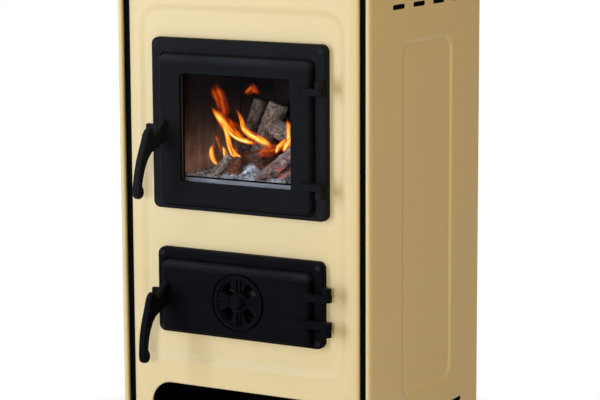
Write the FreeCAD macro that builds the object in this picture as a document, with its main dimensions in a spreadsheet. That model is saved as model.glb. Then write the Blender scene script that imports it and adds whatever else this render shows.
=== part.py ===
"""A small enamelled wood stove: cream casing, cast doors with a window and an air rosette, wood niche below.

Millimetres. +Z is up and -Y is the front. The origin is on the floor, under the middle of the stove's box.
Depths are measured from the front panel's face, positive into the stove.
"""
import FreeCAD, Part
import math
import os
import Sketcher

# Driving dimensions, one cell each
SIZES = {
    # Casing
    "casing_width": 406,
    "casing_depth": 352,
    "casing_height": 697,
    "foot_height": 20,
    "foot_radius": 16,
    "foot_inset": 34,
    "sheet": 2,
    "hem": 8,
    "hem_round": 3.5,
    "post_gap": 19,
    "front_return": 8,
    "front_round": 2,
    "channel_depth": 20,
    "channel_lap": 6,
    "assembly_gap": 0.1,
    "field_depth": 3,
    "front_field_margin": 23,
    "front_field_bottom": 165,
    "front_field_from_top": 50,
    "front_field_round": 30,
    "side_field_width": 156,
    "side_field_margin": 96,
    "side_field_round": 24,
    "vent_length": 33,
    "vent_height": 6.5,
    "vent_pitch": 62.5,
    "vent_above_field": 52,
    "vent_below_field": 40,
    # Wood niche
    "niche_margin": 32,
    "niche_bottom": 38,
    "niche_top": 126,
    "niche_round": 33,
    "niche_wall_gap": 3,
    # Top and flue
    "top_thickness": 12,
    "top_overhang": 4,
    "top_round": 12,
    "hob_depth": 112,
    "hob_radius": 80,
    "hob_seat": 5,
    "ring_thickness": 7,
    "ring_inner_radius": 52,
    "lid_thickness": 4,
    "lid_clearance": 0.5,
    "lifter_length": 22,
    "lifter_width": 7,
    "lifter_depth": 2.5,
    "flue_rear": 80,
    "flue_radius": 59,
    "flue_wall": 3,
    "flue_height": 50,
    "flange_width": 11,
    "flange_thickness": 5,
    "flange_bolt_radius": 2.5,
    "flange_bolt_head": 4.5,
    "flange_bolt_rise": 3.5,
    # Inner box
    "inner_gap": 57,
    "inner_wall": 3,
    "rear_gap": 20,
    "floor_level": 385,
    "floor_plate": 4,
    "brick": 25,
    "brick_from_top": 77,
    "baffle": 12,
    "baffle_setback": 90,
    "grate_width": 150,
    "grate_front_gap": 63,
    "grate_rear_gap": 44,
    "grate_thickness": 12,
    "grate_border": 12,
    "grate_slot": 9,
    "grate_lap": 8,
    "ash_floor_level": 226,
    "pan_side_gap": 2.5,
    "pan_height": 50,
    "pan_rear_gap": 41,
    "pan_wall": 2,
    "pan_setback": 24,
    "pan_grip_width": 70,
    "pan_grip_height": 8,
    "pan_grip_rise": 30,
    "pan_grip_reach": 14,
    # Door castings that both doors share
    "frame_proud": 9,
    "frame_round": 10,
    "frame_edge_round": 4,
    "ledge_drop": 5,
    "leaf_gap": 3,
    "leaf_clearance": 0.4,
    "leaf_thickness": 15,
    "leaf_round": 9,
    "leaf_edge_round": 5,
    "leaf_overlap": 20.5,
    "neck_wall": 6,
    "neck_reach": 14,
    "neck_clearance": 0.5,
    "rope": 4,
    "rope_setback": 14,
    "rope_recess": 4,
    "hinge_forward": 20,
    "lug_radius": 7,
    "pin_radius": 3.5,
    "pin_clearance": 0.05,
    "arm_root": 18,
    "arm_height": 9,
    "lug_height": 10,
    "hinge_play": 0.5,
    "screw_inset": 8,
    "screw_radius": 2.5,
    "screw_head": 4,
    "screw_head_height": 3,
    "screw_clearance": 0.1,
    # Firebox door
    "fire_frame_margin": 44,
    "fire_frame_bottom": 382,
    "fire_frame_from_top": 92.5,
    "fire_leaf_left": 18,
    "fire_leaf_right": 19,
    "fire_leaf_bottom": 9,
    "fire_leaf_top": 22.5,
    "fire_hinge_inset": 3,
    "fire_hinge_up": 45,
    "fire_hinge_down": 67.5,
    "window_left": 34.5,
    "window_right": 30,
    "window_below": 33,
    "window_above": 25,
    "window_round": 5,
    "glass": 4,
    "glass_lap": 5,
    "glass_seal": 2,
    "glass_clearance": 0.2,
    "glass_rebate": 8,
    "rail_height": 7,
    "clip_width": 16,
    "clip_bite": 4.5,
    "fire_handle_up": 115,
    "fire_handle_tilt": 3.5,
    # Ash door
    "ash_frame_margin": 50,
    "ash_frame_bottom": 203,
    "ash_frame_height": 122.5,
    "ash_leaf_left": 13,
    "ash_leaf_right": 16,
    "ash_leaf_bottom": 5,
    "ash_leaf_top": 16.5,
    "ash_hinge_inset": -13,
    "ash_hinge_up": 33,
    "ash_hinge_down": 51.5,
    "ash_handle_up": 61,
    "ash_handle_tilt": 0,
    "rosette_shift": 6,
    "rosette_radius": 39,
    "rosette_recess": 6,
    "rosette_thickness": 6.5,
    "rosette_clearance": 3,
    "rosette_running_gap": 0.3,
    "rosette_rim": 5,
    "rosette_dish": 2.5,
    "port_inner": 14,
    "port_outer": 31.5,
    "port_angle": 40,
    "rib_width": 2.5,
    "rib_spacing": 6,
    "hub_radius": 9,
    "hub_height": 6,
    "spindle_radius": 5,
    "peg_radius": 2.5,
    "peg_height": 6,
    "peg_place": 26,
    # Handles
    "handle_reach": 86,
    "handle_width": 11,
    "handle_drop": 86,
    "handle_grip": 8,
    "root_height": 30,
    "arm_reach": 57,
    "arm_fall": 20,
    "crook_rise": 7,
    "crook_reach": 68,
    "gusset_drop": 27,
    "inner_bow_radius": 60,
    "front_bow_radius": 216,
    "crook_radius": 10,
    "tip_radius": 7,
    "gusset_radius": 90,
    "handle_gap": 0.4,
    "pivot_inset": 7,
    "pivot_radius": 4,
    "clip_ring_radius": 5.8,
    "clip_ring_thickness": 2.2,
    "clip_recess_clearance": 0.2,
    "clip_recess_depth": 3.2,
    "shaft_end_gap": 0.5,
    "tail_height": 12,
    "tail_forward": 21.5,
    "tail_thickness": 8,
    "tail_end_gap": 2.5,
    "keeper_edge_gap": 0.5,
    "keeper_width": 6,
    "keeper_bar": 5,
    "keeper_gap": 1.5,
    "keeper_depth": 8,
    "keeper_foot": 16,
    # Rear fasteners
    "back_screw_radius": 4,
    "back_screw_height": 2.5,
    "back_screw_inset": 9,
    # One overrun for every through cut
    "overrun": 1,
}

doc = FreeCAD.newDocument("WoodStove")
sheet = doc.addObject("Spreadsheet::Sheet", "Sizes")
for row, (alias, number) in enumerate(SIZES.items(), start=1):
    sheet.set(f"A{row}", alias)
    sheet.set(f"B{row}", str(number))
    sheet.setAlias(f"B{row}", alias)
doc.recompute()


class Size:
    """A length that carries both its number and the formula on the sheet's cells that gives it."""

    def __init__(self, text, number):
        self.text = text
        self.number = number

    def combine(self, other, sign, number):
        return Size(f"({self.text} {sign} {formula(other)})", number)

    def __add__(self, other):
        return self.combine(other, "+", self.number + value(other))

    def __sub__(self, other):
        return self.combine(other, "-", self.number - value(other))

    def __mul__(self, factor):
        return self.combine(factor, "*", self.number * value(factor))

    def __truediv__(self, factor):
        return self.combine(factor, "/", self.number / value(factor))

    def __neg__(self):
        return Size(f"(-1 * {self.text})", -self.number)


def formula(size):
    return size.text if isinstance(size, Size) else repr(size)


def value(size):
    return size.number if isinstance(size, Size) else float(size)


class Cells:
    """Every cell of the sheet as an attribute that is a Size."""

    def __getattr__(self, alias):
        return Size(f"Sizes.{alias}", float(SIZES[alias]))


s = Cells()
ZERO = Size("0", 0.0)
AXES = {"X": FreeCAD.Vector(1, 0, 0), "Y": FreeCAD.Vector(0, 1, 0), "Z": FreeCAD.Vector(0, 0, 1)}
pieces = {}


def bind(thing, **sizes):
    """Tie properties of a document object to formulas on the sheet."""
    for name, size in sizes.items():
        thing.setExpression(name.replace("__", "."), formula(size))


def keep(label, thing):
    """Register a finished sub-part under its node name."""
    thing.Label = label
    pieces[label] = thing
    return thing


# Primitives and booleans

def block(x, y, z, name="block"):
    """A box between three pairs of limits."""
    box = doc.addObject("Part::Box", name)
    for side, origin, (low, high) in (("Length", "x", x), ("Width", "y", y), ("Height", "z", z)):
        box.setExpression(side, formula(high - low))
        box.setExpression(f"Placement.Base.{origin}", formula(low))
    return box


def rod(axis, at, span, radius, angle=None, turn=None, name="rod"):
    """A cylinder, or a sector of one, along an axis; at gives its place across that axis."""
    cylinder = doc.addObject("Part::Cylinder", name)
    low, high = span
    turns = {
        "X": FreeCAD.Rotation(AXES["Y"], 90),
        "Y": FreeCAD.Rotation(AXES["X"], -90),
        "Z": FreeCAD.Rotation(),
    }
    places = {"X": (low, *at), "Y": (at[0], low, at[1]), "Z": (*at, low)}
    rotation = turns[axis]
    if turn is not None:
        rotation = rotation.multiply(FreeCAD.Rotation(AXES["Z"], turn))
    cylinder.Placement = FreeCAD.Placement(FreeCAD.Vector(), rotation)
    bind(cylinder, Radius=radius, Height=high - low)
    if angle is not None:
        bind(cylinder, Angle=angle)
    for origin, size in zip("xyz", places[axis]):
        cylinder.setExpression(f"Placement.Base.{origin}", formula(size))
    return cylinder


def fuse(things, name="joined"):
    if len(things) == 1:
        return things[0]
    union = doc.addObject("Part::MultiFuse", name)
    union.Shapes = things
    return union


def cut(base, tools, name="cut"):
    difference = doc.addObject("Part::Cut", name)
    difference.Base = base
    difference.Tool = fuse(tools)
    return difference


def group(things, name="group"):
    """Separate solids that share one node, such as a set of screws."""
    compound = doc.addObject("Part::Compound", name)
    compound.Links = things
    return compound


# Sketch outlines: a start point, then (end point, radius or None, bend) for each line or arc

def rectangle(u, v, radius=None):
    """A rectangle between two pairs of limits, with round corners where a radius is given."""
    (left, right), (low, high) = u, v
    if radius is None:
        return [[(left, low), ((right, low), None, 0), ((right, high), None, 0),
                 ((left, high), None, 0), ((left, low), None, 0)]]
    return [[(left + radius, low),
             ((right - radius, low), None, 0), ((right, low + radius), radius, 1),
             ((right, high - radius), None, 0), ((right - radius, high), radius, 1),
             ((left + radius, high), None, 0), ((left, high - radius), radius, 1),
             ((left, low + radius), None, 0), ((left + radius, low), radius, 1)]]


def polygon(*points):
    return [[points[0]] + [(point, None, 0) for point in points[1:] + points[:1]]]


def grown(limits, by):
    """A pair of limits moved outwards at both ends."""
    low, high = limits
    return low - by, high + by


def arc_between(start, end, radius, bend):
    """The minor arc of that radius from start to end; bend 1 turns left on the way and -1 turns right."""
    chord = end - start
    middle = (start + end) * 0.5
    rise = math.sqrt(max(radius ** 2 - (chord.Length / 2) ** 2, 0.0))
    across = FreeCAD.Vector(-chord.y, chord.x, 0).normalize() * (rise * bend)
    centre = middle + across
    circle = Part.Circle(centre, AXES["Z"], radius)
    first, last = (start, end) if bend > 0 else (end, start)
    angles = [math.atan2(p.y - centre.y, p.x - centre.x) for p in (first, last)]
    if angles[1] < angles[0]:
        angles[1] += 2 * math.pi
    return Part.ArcOfCircle(circle, *angles)


def point_ties(geometry, position, point):
    """The two constraints that hold a point, each with its size."""
    return [(Sketcher.Constraint(kind, -1, 1, geometry, position, value(size)), size)
            for kind, size in zip(("DistanceX", "DistanceY"), point)]


def radius_tie(geometry, radius):
    return Sketcher.Constraint("Radius", geometry, value(radius)), radius


def draw_wire(sketch, wire):
    """Lines and arcs through the wire's points; the constraints that hold them come back with their sizes."""
    start = wire[0]
    ends = []
    for end, radius, bend in wire[1:]:
        points = [FreeCAD.Vector(value(u), value(v), 0) for u, v in (start, end)]
        if radius is None:
            mark = sketch.addGeometry(Part.LineSegment(*points), False)
        else:
            mark = sketch.addGeometry(arc_between(*points, value(radius), bend), False)
        ends.append((mark, (1, 2) if bend >= 0 else (2, 1), start, radius))
        start = end
    ties = []
    for (mark, (begin, finish), point, radius), following in zip(ends, ends[1:] + ends[:1]):
        ties.append((Sketcher.Constraint("Coincident", mark, finish, following[0], following[1][0]), None))
        ties += point_ties(mark, begin, point)
        if radius is not None:
            ties.append(radius_tie(mark, radius))
    return ties


def draw_circle(sketch, centre, radius):
    """A circle; the constraints that hold it come back with their sizes."""
    place = FreeCAD.Vector(value(centre[0]), value(centre[1]), 0)
    mark = sketch.addGeometry(Part.Circle(place, AXES["Z"], value(radius)), False)
    return point_ties(mark, 3, centre) + [radius_tie(mark, radius)]


class Casting:
    """One body built by padding, pocketing and rounding outlines on its own origin planes."""

    # The sketch plane for each direction, and the sign of its normal
    PLANES = {"X": ("YZ_Plane", 1), "Y": ("XZ_Plane", -1), "Z": ("XY_Plane", 1)}

    def __init__(self, label):
        self.body = keep(label, doc.addObject("PartDesign::Body", label))
        self.volume = 0.0

    def sketch(self, axis, outlines, level):
        role, sign = self.PLANES[axis]
        drawing = self.body.newObject("Sketcher::SketchObject", "outline")
        plane = next(feature for feature in self.body.Origin.OriginFeatures if feature.Role == role)
        drawing.AttachmentSupport = [(plane, "")]
        drawing.MapMode = "FlatFace"
        bind(drawing, AttachmentOffset__Base__z=level * sign)
        ties = []
        for outline in outlines:
            is_circle = isinstance(outline, tuple)
            ties += draw_circle(drawing, *outline) if is_circle else draw_wire(drawing, outline)
        marks = drawing.addConstraint([constraint for constraint, size in ties])
        for mark, (constraint, size) in zip(marks, ties):
            if size is not None:
                drawing.setExpression(f"Constraints[{mark}]", formula(size))
        return drawing

    def feature(self, kind, axis, outlines, span, reversed_way):
        low, high = span
        before = self.volume
        drawing = self.sketch(axis, outlines, low)
        step = self.body.newObject(f"PartDesign::{kind}", kind.lower())
        step.Profile = drawing
        bind(step, Length=high - low)
        step.Reversed = reversed_way
        doc.recompute([step])
        self.body.Tip = step
        self.volume = step.Shape.Volume
        change = self.volume - before
        if (change > 0) != (kind == "Pad"):
            raise RuntimeError(f"{self.body.Label}: {kind} changed the volume by {change:.3f}")
        return step

    def pad(self, axis, outlines, span):
        """Add the outline's material between two levels along the axis."""
        return self.feature("Pad", axis, outlines, span, self.PLANES[axis][1] < 0)

    def pocket(self, axis, outlines, span):
        """Remove the outline's material between two levels along the axis."""
        return self.feature("Pocket", axis, outlines, span, self.PLANES[axis][1] > 0)

    def edges(self, chosen):
        shape = self.body.Tip.Shape
        return [f"Edge{number}" for number, edge in enumerate(shape.Edges, start=1) if chosen(edge.BoundBox)]

    def round_edges(self, chosen, radius):
        """Fillet the edges whose box passes the test."""
        names = self.edges(chosen)
        if not names:
            raise RuntimeError(f"{self.body.Label}: no edge to round")
        base = self.body.Tip
        rounding = self.body.newObject("PartDesign::Fillet", "rounding")
        rounding.Base = (base, names)
        bind(rounding, Radius=radius)
        doc.recompute([rounding])
        self.body.Tip = rounding
        self.volume = rounding.Shape.Volume
        return rounding


NEAR = 1e-4


def in_plane(axis, level):
    """A test for edges that lie wholly in one plane."""
    low, high = f"{axis}Min", f"{axis}Max"
    return lambda box: all(abs(getattr(box, end) - value(level)) < NEAR for end in (low, high))


# Places that several pieces share
front = (s.handle_reach - s.casing_depth - s.top_overhang) / 2
side = s.casing_width / 2
front_edge = side - s.post_gap
casing_bottom = s.foot_height
casing_top = casing_bottom + s.casing_height
casing_middle = (casing_bottom + casing_top) / 2
back = front + s.casing_depth
inner_side = side - s.inner_gap
inner_front = front + s.neck_reach
inner_back = back - s.rear_gap
niche_roof = s.niche_top + s.niche_wall_gap
chamber_bottom = niche_roof + s.inner_wall
floor_top = s.floor_level + s.floor_plate
brick_top = casing_top - s.brick_from_top
rim_face = front - s.frame_proud
ledge_face = rim_face + s.ledge_drop
frame_back = front + s.field_depth
leaf_back = ledge_face - s.leaf_clearance
leaf_face = leaf_back - s.leaf_thickness
hinge_line = front - s.hinge_forward
grate_span = (inner_front + s.inner_wall + s.grate_front_gap,
              inner_back - s.inner_wall - s.brick - s.grate_rear_gap)
niche = ((s.niche_margin - front_edge, front_edge - s.niche_margin), (s.niche_bottom, s.niche_top))
flue_middle = back - s.flue_rear
CORNERS = [(-1, -1), (1, -1), (1, 1), (-1, 1)]
slot_round_share = 0.45


def middle_of(limits):
    return (limits[0] + limits[1]) / 2


class Door:
    """The outlines that one door's frame, leaf and fittings share."""

    def __init__(self, key, high):
        size = {name: getattr(s, f"{key}_{name}") for name in (
            "frame_margin", "frame_bottom", "leaf_left", "leaf_right", "leaf_bottom", "leaf_top",
            "hinge_inset", "hinge_up", "hinge_down", "handle_up")}
        half = front_edge - size["frame_margin"]
        low = size["frame_bottom"]
        self.frame = ((-half, half), (low, high))
        self.leaf = ((-half + size["leaf_left"], half - size["leaf_right"]),
                     (low + size["leaf_bottom"], high - size["leaf_top"]))
        self.opening = tuple(grown(limits, -s.leaf_overlap) for limits in self.leaf)
        self.neck = tuple(grown(limits, s.neck_wall) for limits in self.opening)
        self.ledge = tuple(grown(limits, s.leaf_gap) for limits in self.leaf)
        self.hinge = half - size["hinge_inset"]
        self.low_arm = (low + size["hinge_up"], low + size["hinge_up"] + s.arm_height)
        self.high_arm = (high - size["hinge_down"], high - size["hinge_down"] + s.arm_height)
        self.low_lug = (self.low_arm[0] - s.hinge_play - s.lug_height, self.low_arm[0] - s.hinge_play)
        self.high_lug = (self.high_arm[1] + s.hinge_play, self.high_arm[1] + s.hinge_play + s.lug_height)
        self.pivot = (self.leaf[0][0] + s.pivot_inset, low + size["handle_up"])
        self.keeper = (self.frame[0][0] + s.keeper_edge_gap,
                       self.frame[0][0] + s.keeper_edge_gap + s.keeper_width)

    def screws(self):
        """Centres of the frame's four corner screws."""
        (left, right), (low, high) = self.frame
        columns = (left + s.screw_inset, right - s.screw_inset)
        levels = (low + s.screw_inset, high - s.screw_inset)
        return [(x, z) for x in columns for z in levels]


fire = Door("fire", casing_top - s.fire_frame_from_top)
ash = Door("ash", s.ash_frame_bottom + s.ash_frame_height)


# Casing

def front_panel():
    """A shallow enamelled pan with a pressed field, cut for both doors and the wood niche."""
    panel = Casting("front_panel")
    outer = ((-front_edge, front_edge), (casing_bottom, casing_top))
    inner = tuple(grown(limits, -s.sheet) for limits in outer)
    field = (grown((-front_edge, front_edge), -s.front_field_margin),
             (s.front_field_bottom, casing_top - s.front_field_from_top))
    step = tuple(grown(limits, s.sheet) for limits in field)
    field_back = front + s.field_depth + s.sheet
    panel.pad("Y", rectangle(*outer), (front, front + s.front_return))
    panel.round_edges(in_plane("Y", front), s.front_round)
    panel.pocket("Y", rectangle(*inner), (field_back, front + s.front_return))
    panel.pocket("Y", rectangle(*inner) + rectangle(*step, s.front_field_round),
                 (front + s.sheet, field_back))
    panel.pocket("Y", rectangle(*field, s.front_field_round), (front, front + s.field_depth))
    through = (front, front + s.front_return)
    for door in (fire, ash):
        hole = tuple(grown(limits, s.neck_clearance) for limits in door.neck)
        panel.pocket("Y", rectangle(*hole, s.frame_round), through)
        panel.pocket("Y", [(centre, s.screw_radius + s.screw_clearance) for centre in door.screws()], through)
    panel.pocket("Y", rectangle(*niche, s.niche_round), through)


def side_panel(label, sign):
    """An enamelled side with rolled front and rear hems, a pressed field and two rows of vents."""
    panel = Casting(label)

    def between(inner, outer):
        """Limits across the panel, from distances inside its outer face."""
        near, far = side - outer, side - inner
        return (near, far) if sign > 0 else (-far, -near)

    length = (front, back)
    height = (casing_bottom, casing_top)
    field_middle = (front + back) / 2
    field = ((field_middle - s.side_field_width / 2, field_middle + s.side_field_width / 2),
             grown(height, -s.side_field_margin))
    step = tuple(grown(limits, s.sheet) for limits in field)
    inside = (grown(length, -s.hem), grown(height, -s.sheet))
    panel.pad("X", rectangle(length, height), between(ZERO, s.hem))
    panel.round_edges(lambda box: box.ZLength > value(s.casing_height) - NEAR, s.hem_round)
    panel.pocket("X", rectangle(*inside), between(s.field_depth + s.sheet, s.hem))
    panel.pocket("X", rectangle(*inside) + rectangle(*step, s.side_field_round),
                 between(s.sheet, s.field_depth + s.sheet))
    panel.pocket("X", rectangle(*field, s.side_field_round), between(ZERO, s.field_depth))
    rows = (field[1][1] + s.vent_above_field, field[1][0] - s.vent_below_field)
    vents = []
    for level in rows:
        for count_share in (-1.5, -0.5, 0.5, 1.5):
            middle = field_middle + s.vent_pitch * count_share
            across = (middle - s.vent_length / 2, middle + s.vent_length / 2)
            vents += rectangle(across, (level - s.vent_height / 2, level + s.vent_height / 2),
                               s.vent_height * slot_round_share)
    panel.pocket("X", vents, between(ZERO, s.sheet))


def corner_channel(label, sign):
    """The black post that shows as a recessed line between the front and a side."""
    low = front_edge - s.channel_lap
    high = side - s.hem - s.assembly_gap
    wall = s.sheet
    depth = (front + s.front_return, front + s.front_return + s.channel_depth)
    height = (casing_bottom, casing_top)
    inside_depth = (depth[0] + wall, depth[1] + s.overrun)
    outer = (low, high) if sign > 0 else (-high, -low)
    inner = grown(outer, -wall)
    keep(label, cut(block(outer, depth, height), [block(inner, inside_depth, grown(height, s.overrun))]))


def back_panel():
    across = side - s.hem - s.assembly_gap
    sheet_span = (back - s.sheet, back)
    plate = block((-across, across), sheet_span, (casing_bottom, casing_top))
    keep("back_panel", plate)
    heads = []
    for sign in (-1, 1):
        column = (across - s.back_screw_inset) * sign
        for level in (casing_bottom + s.back_screw_inset, casing_middle, casing_top - s.back_screw_inset):
            heads.append(rod("Y", (column, level), (back, back + s.back_screw_height), s.back_screw_radius))
    keep("back_panel_screws", group(heads))


def base():
    """The niche floor and the feet that carry the stove."""
    across = front_edge - s.channel_lap - s.assembly_gap
    depth = (front + s.front_return + s.assembly_gap, back - s.sheet - s.assembly_gap)
    keep("base_plate", block((-across, across), depth, (casing_bottom, casing_bottom + s.inner_wall)))
    spread = (across - s.foot_inset, (depth[1] - depth[0]) / 2 - s.foot_inset)
    feet = [rod("Z", (spread[0] * a, middle_of(depth) + spread[1] * b), (ZERO, casing_bottom), s.foot_radius)
            for a, b in CORNERS]
    keep("feet", group(feet))


def niche_walls():
    near = niche[0][1] + s.niche_wall_gap
    far = near + s.inner_wall
    depth = (front + s.front_return + s.assembly_gap, back - s.sheet - s.assembly_gap)
    height = (casing_bottom + s.inner_wall, niche_roof)
    keep("niche_right_wall", block((near, far), depth, height))
    keep("niche_left_wall", block((-far, -near), depth, height))
    keep("niche_roof", block((-far, far), depth, (niche_roof, chamber_bottom)))


# Top

def top_plate():
    """The cast cooking top, with a stepped seat for the hob ring and a hole under the flue."""
    top = Casting("top_plate")
    reach = side + s.top_overhang
    outline = rectangle((-reach, reach), (front - s.top_overhang, back + s.top_overhang), s.top_round)
    level = (casing_top, casing_top + s.top_thickness)
    hob = (ZERO, front + s.hob_depth)
    flue = (ZERO, flue_middle)
    top.pad("Z", outline, level)
    top.round_edges(in_plane("Z", level[1]), s.top_round / 4)
    top.pocket("Z", [(hob, s.hob_radius + s.hob_seat)], (level[1] - s.ring_thickness, level[1]))
    top.pocket("Z", [(hob, s.hob_radius)], level)
    top.pocket("Z", [(flue, s.flue_radius - s.flue_wall)], level)
    top.pocket("Z", [(place, s.flange_bolt_radius) for place in flange_places()], level)


def hob():
    """A loose ring and a loose lid, each lying in a stepped seat."""
    top = casing_top + s.top_thickness
    centre = (ZERO, front + s.hob_depth)
    seat = s.ring_inner_radius + s.hob_seat
    ring = Casting("hob_ring")
    ring.pad("Z", [(centre, s.hob_radius + s.hob_seat - s.lid_clearance)], (top - s.ring_thickness, top))
    ring.pocket("Z", [(centre, seat)], (top - s.lid_thickness, top))
    ring.pocket("Z", [(centre, s.ring_inner_radius)], (top - s.ring_thickness, top))
    lid = Casting("hob_lid")
    lid.pad("Z", [(centre, seat - s.lid_clearance)], (top - s.lid_thickness, top))
    length = (centre[0] - s.lifter_length / 2, centre[0] + s.lifter_length / 2)
    width = (centre[1] - s.lifter_width / 2, centre[1] + s.lifter_width / 2)
    lid.pocket("Z", rectangle(length, width, s.lifter_width * slot_round_share), (top - s.lifter_depth, top))


def flange_places():
    """Centres of the four bolts of the flue collar's flange, on its diagonals."""
    reach = (s.flue_radius + s.flange_width / 2) * math.sqrt(0.5)
    return [(reach * a, flue_middle + reach * b) for a, b in CORNERS]


def flue():
    """The collar that a flue pipe slides over, bolted to the top."""
    level = casing_top + s.top_thickness
    centre = (ZERO, flue_middle)
    collar = Casting("flue_collar")
    collar.pad("Z", [(centre, s.flue_radius + s.flange_width)], (level, level + s.flange_thickness))
    collar.pad("Z", [(centre, s.flue_radius)], (level, level + s.flange_thickness + s.flue_height))
    collar.pocket("Z", [(centre, s.flue_radius - s.flue_wall)],
                  (level, level + s.flange_thickness + s.flue_height))
    collar.pocket("Z", [(place, s.flange_bolt_radius) for place in flange_places()],
                  (level, level + s.flange_thickness))
    bolts = []
    for place in flange_places():
        head = doc.addObject("Part::Prism", "bolt_head")
        head.Polygon = 6
        bind(head, Circumradius=s.flange_bolt_head, Height=s.flange_bolt_rise, Placement__Base__x=place[0],
             Placement__Base__y=place[1], Placement__Base__z=level + s.flange_thickness)
        shank = rod("Z", place, (casing_top, level + s.flange_thickness), s.flange_bolt_radius)
        bolts.append(fuse([head, shank]))
    keep("flue_bolts", group(bolts))


# Inner box

def inner_walls():
    """The steel box inside the casing: firebox above the floor plate, ash chamber below it."""
    wall = s.inner_wall
    depth = (inner_front + wall, inner_back)
    plate = block((-inner_side, inner_side), (inner_front, inner_front + wall), (chamber_bottom, casing_top))
    through = (inner_front - s.overrun, inner_front + wall + s.overrun)
    holes = [block(door.opening[0], through, door.opening[1]) for door in (fire, ash)]
    keep("inner_front_plate", cut(plate, holes))
    fire_height = (floor_top, casing_top)
    ash_height = (chamber_bottom, s.floor_level)
    inside = inner_side - wall
    rear = (inner_back - wall, inner_back)
    for name, height in (("firebox", fire_height), ("ash_chamber", ash_height)):
        keep(f"{name}_right_wall", block((inside, inner_side), depth, height))
        keep(f"{name}_left_wall", block((-inner_side, -inside), depth, height))
        keep(f"{name}_back_wall", block((-inside, inside), rear, height))
    floor = block((-inner_side, inner_side), depth, (s.floor_level, floor_top))
    hole_width = s.grate_width / 2 - s.grate_lap
    hole = block((-hole_width, hole_width), grown(grate_span, -s.grate_lap),
                 grown((s.floor_level, floor_top), s.overrun))
    keep("firebox_floor", cut(floor, [hole]))
    ash_inside = inside - s.assembly_gap
    keep("ash_floor", block((-ash_inside, ash_inside), (depth[0], rear[0]),
                            (s.ash_floor_level, s.ash_floor_level + wall)))


def lining():
    """Firebricks on three sides, and the baffle that lies on them."""
    inside = inner_side - s.inner_wall
    depth = (inner_front + s.inner_wall, inner_back - s.inner_wall)
    height = (floor_top, brick_top)
    keep("firebrick_right", block((inside - s.brick, inside), depth, height))
    keep("firebrick_left", block((-inside, s.brick - inside), depth, height))
    between = inside - s.brick
    keep("firebrick_back", block((-between, between), (depth[1] - s.brick, depth[1]), height))
    across = inside - s.assembly_gap
    keep("baffle_plate", block((-across, across), (front + s.baffle_setback, depth[1]),
                               (brick_top, brick_top + s.baffle)))


def grate():
    """A cast grate with a border and slots along its length."""
    body = Casting("grate")
    half_width = s.grate_width / 2
    level = (floor_top, floor_top + s.grate_thickness)
    body.pad("Z", rectangle((-half_width, half_width), grate_span, s.grate_border / 2), level)
    slot_length = grown(grate_span, -s.grate_border)
    slots = []
    for place_share in (-0.36, -0.24, -0.12, 0.0, 0.12, 0.24, 0.36):
        middle = s.grate_width * place_share
        slots += rectangle((middle - s.grate_slot / 2, middle + s.grate_slot / 2), slot_length,
                           s.grate_slot * slot_round_share)
    body.pocket("Z", slots, level)


def ash_pan():
    """An open tray on the ash chamber's floor, with a turned-up grip at its front."""
    across = grown(ash.opening[0], -s.pan_side_gap)
    low = s.ash_floor_level + s.inner_wall
    depth = (inner_front + s.pan_setback, inner_back - s.inner_wall - s.pan_rear_gap)
    outer = block(across, depth, (low, low + s.pan_height))
    hollow = block(grown(across, -s.pan_wall), grown(depth, -s.pan_wall),
                   (low + s.pan_wall, low + s.pan_height + s.overrun))
    grip_half = s.pan_grip_width / 2
    grip_low = low + s.pan_grip_rise
    grip = block((-grip_half, grip_half), (depth[0] - s.pan_grip_reach, depth[0]),
                 (grip_low, grip_low + s.pan_grip_height))
    keep("ash_pan", fuse([cut(outer, [hollow]), grip]))


# Doors

def lug_outline(door):
    """Plan of a frame lug: a round eye on the hinge line, with a foot on the frame's rim."""
    r = s.lug_radius
    x = door.hinge
    heel = door.ledge[0][1]
    toe = door.frame[0][1] - s.frame_edge_round
    return [[(x - r, hinge_line), ((heel, rim_face), None, 0), ((heel, rim_face + s.overrun), None, 0),
             ((toe, rim_face + s.overrun), None, 0), ((toe, rim_face), None, 0),
             ((x + r, hinge_line), None, 0), ((x, hinge_line - r), r, -1), ((x - r, hinge_line), r, -1)]]


def arm_outline(door):
    """Plan of a leaf arm: a tongue on the leaf's face that ends in a round eye on the hinge line."""
    r = s.lug_radius
    x = door.hinge
    leaf_edge = door.leaf[0][1]
    root = leaf_edge - s.arm_root
    inside = leaf_edge - s.leaf_edge_round
    return [[(root, leaf_face + s.overrun), ((root, leaf_face), None, 0),
             ((root + r, hinge_line - r), None, 0), ((x, hinge_line - r), None, 0),
             ((x + r, hinge_line), r, 1), ((x, hinge_line + r), r, 1),
             ((inside, hinge_line + r), None, 0), ((inside, leaf_face + s.overrun), None, 0),
             ((root, leaf_face + s.overrun), None, 0)]]


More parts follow.
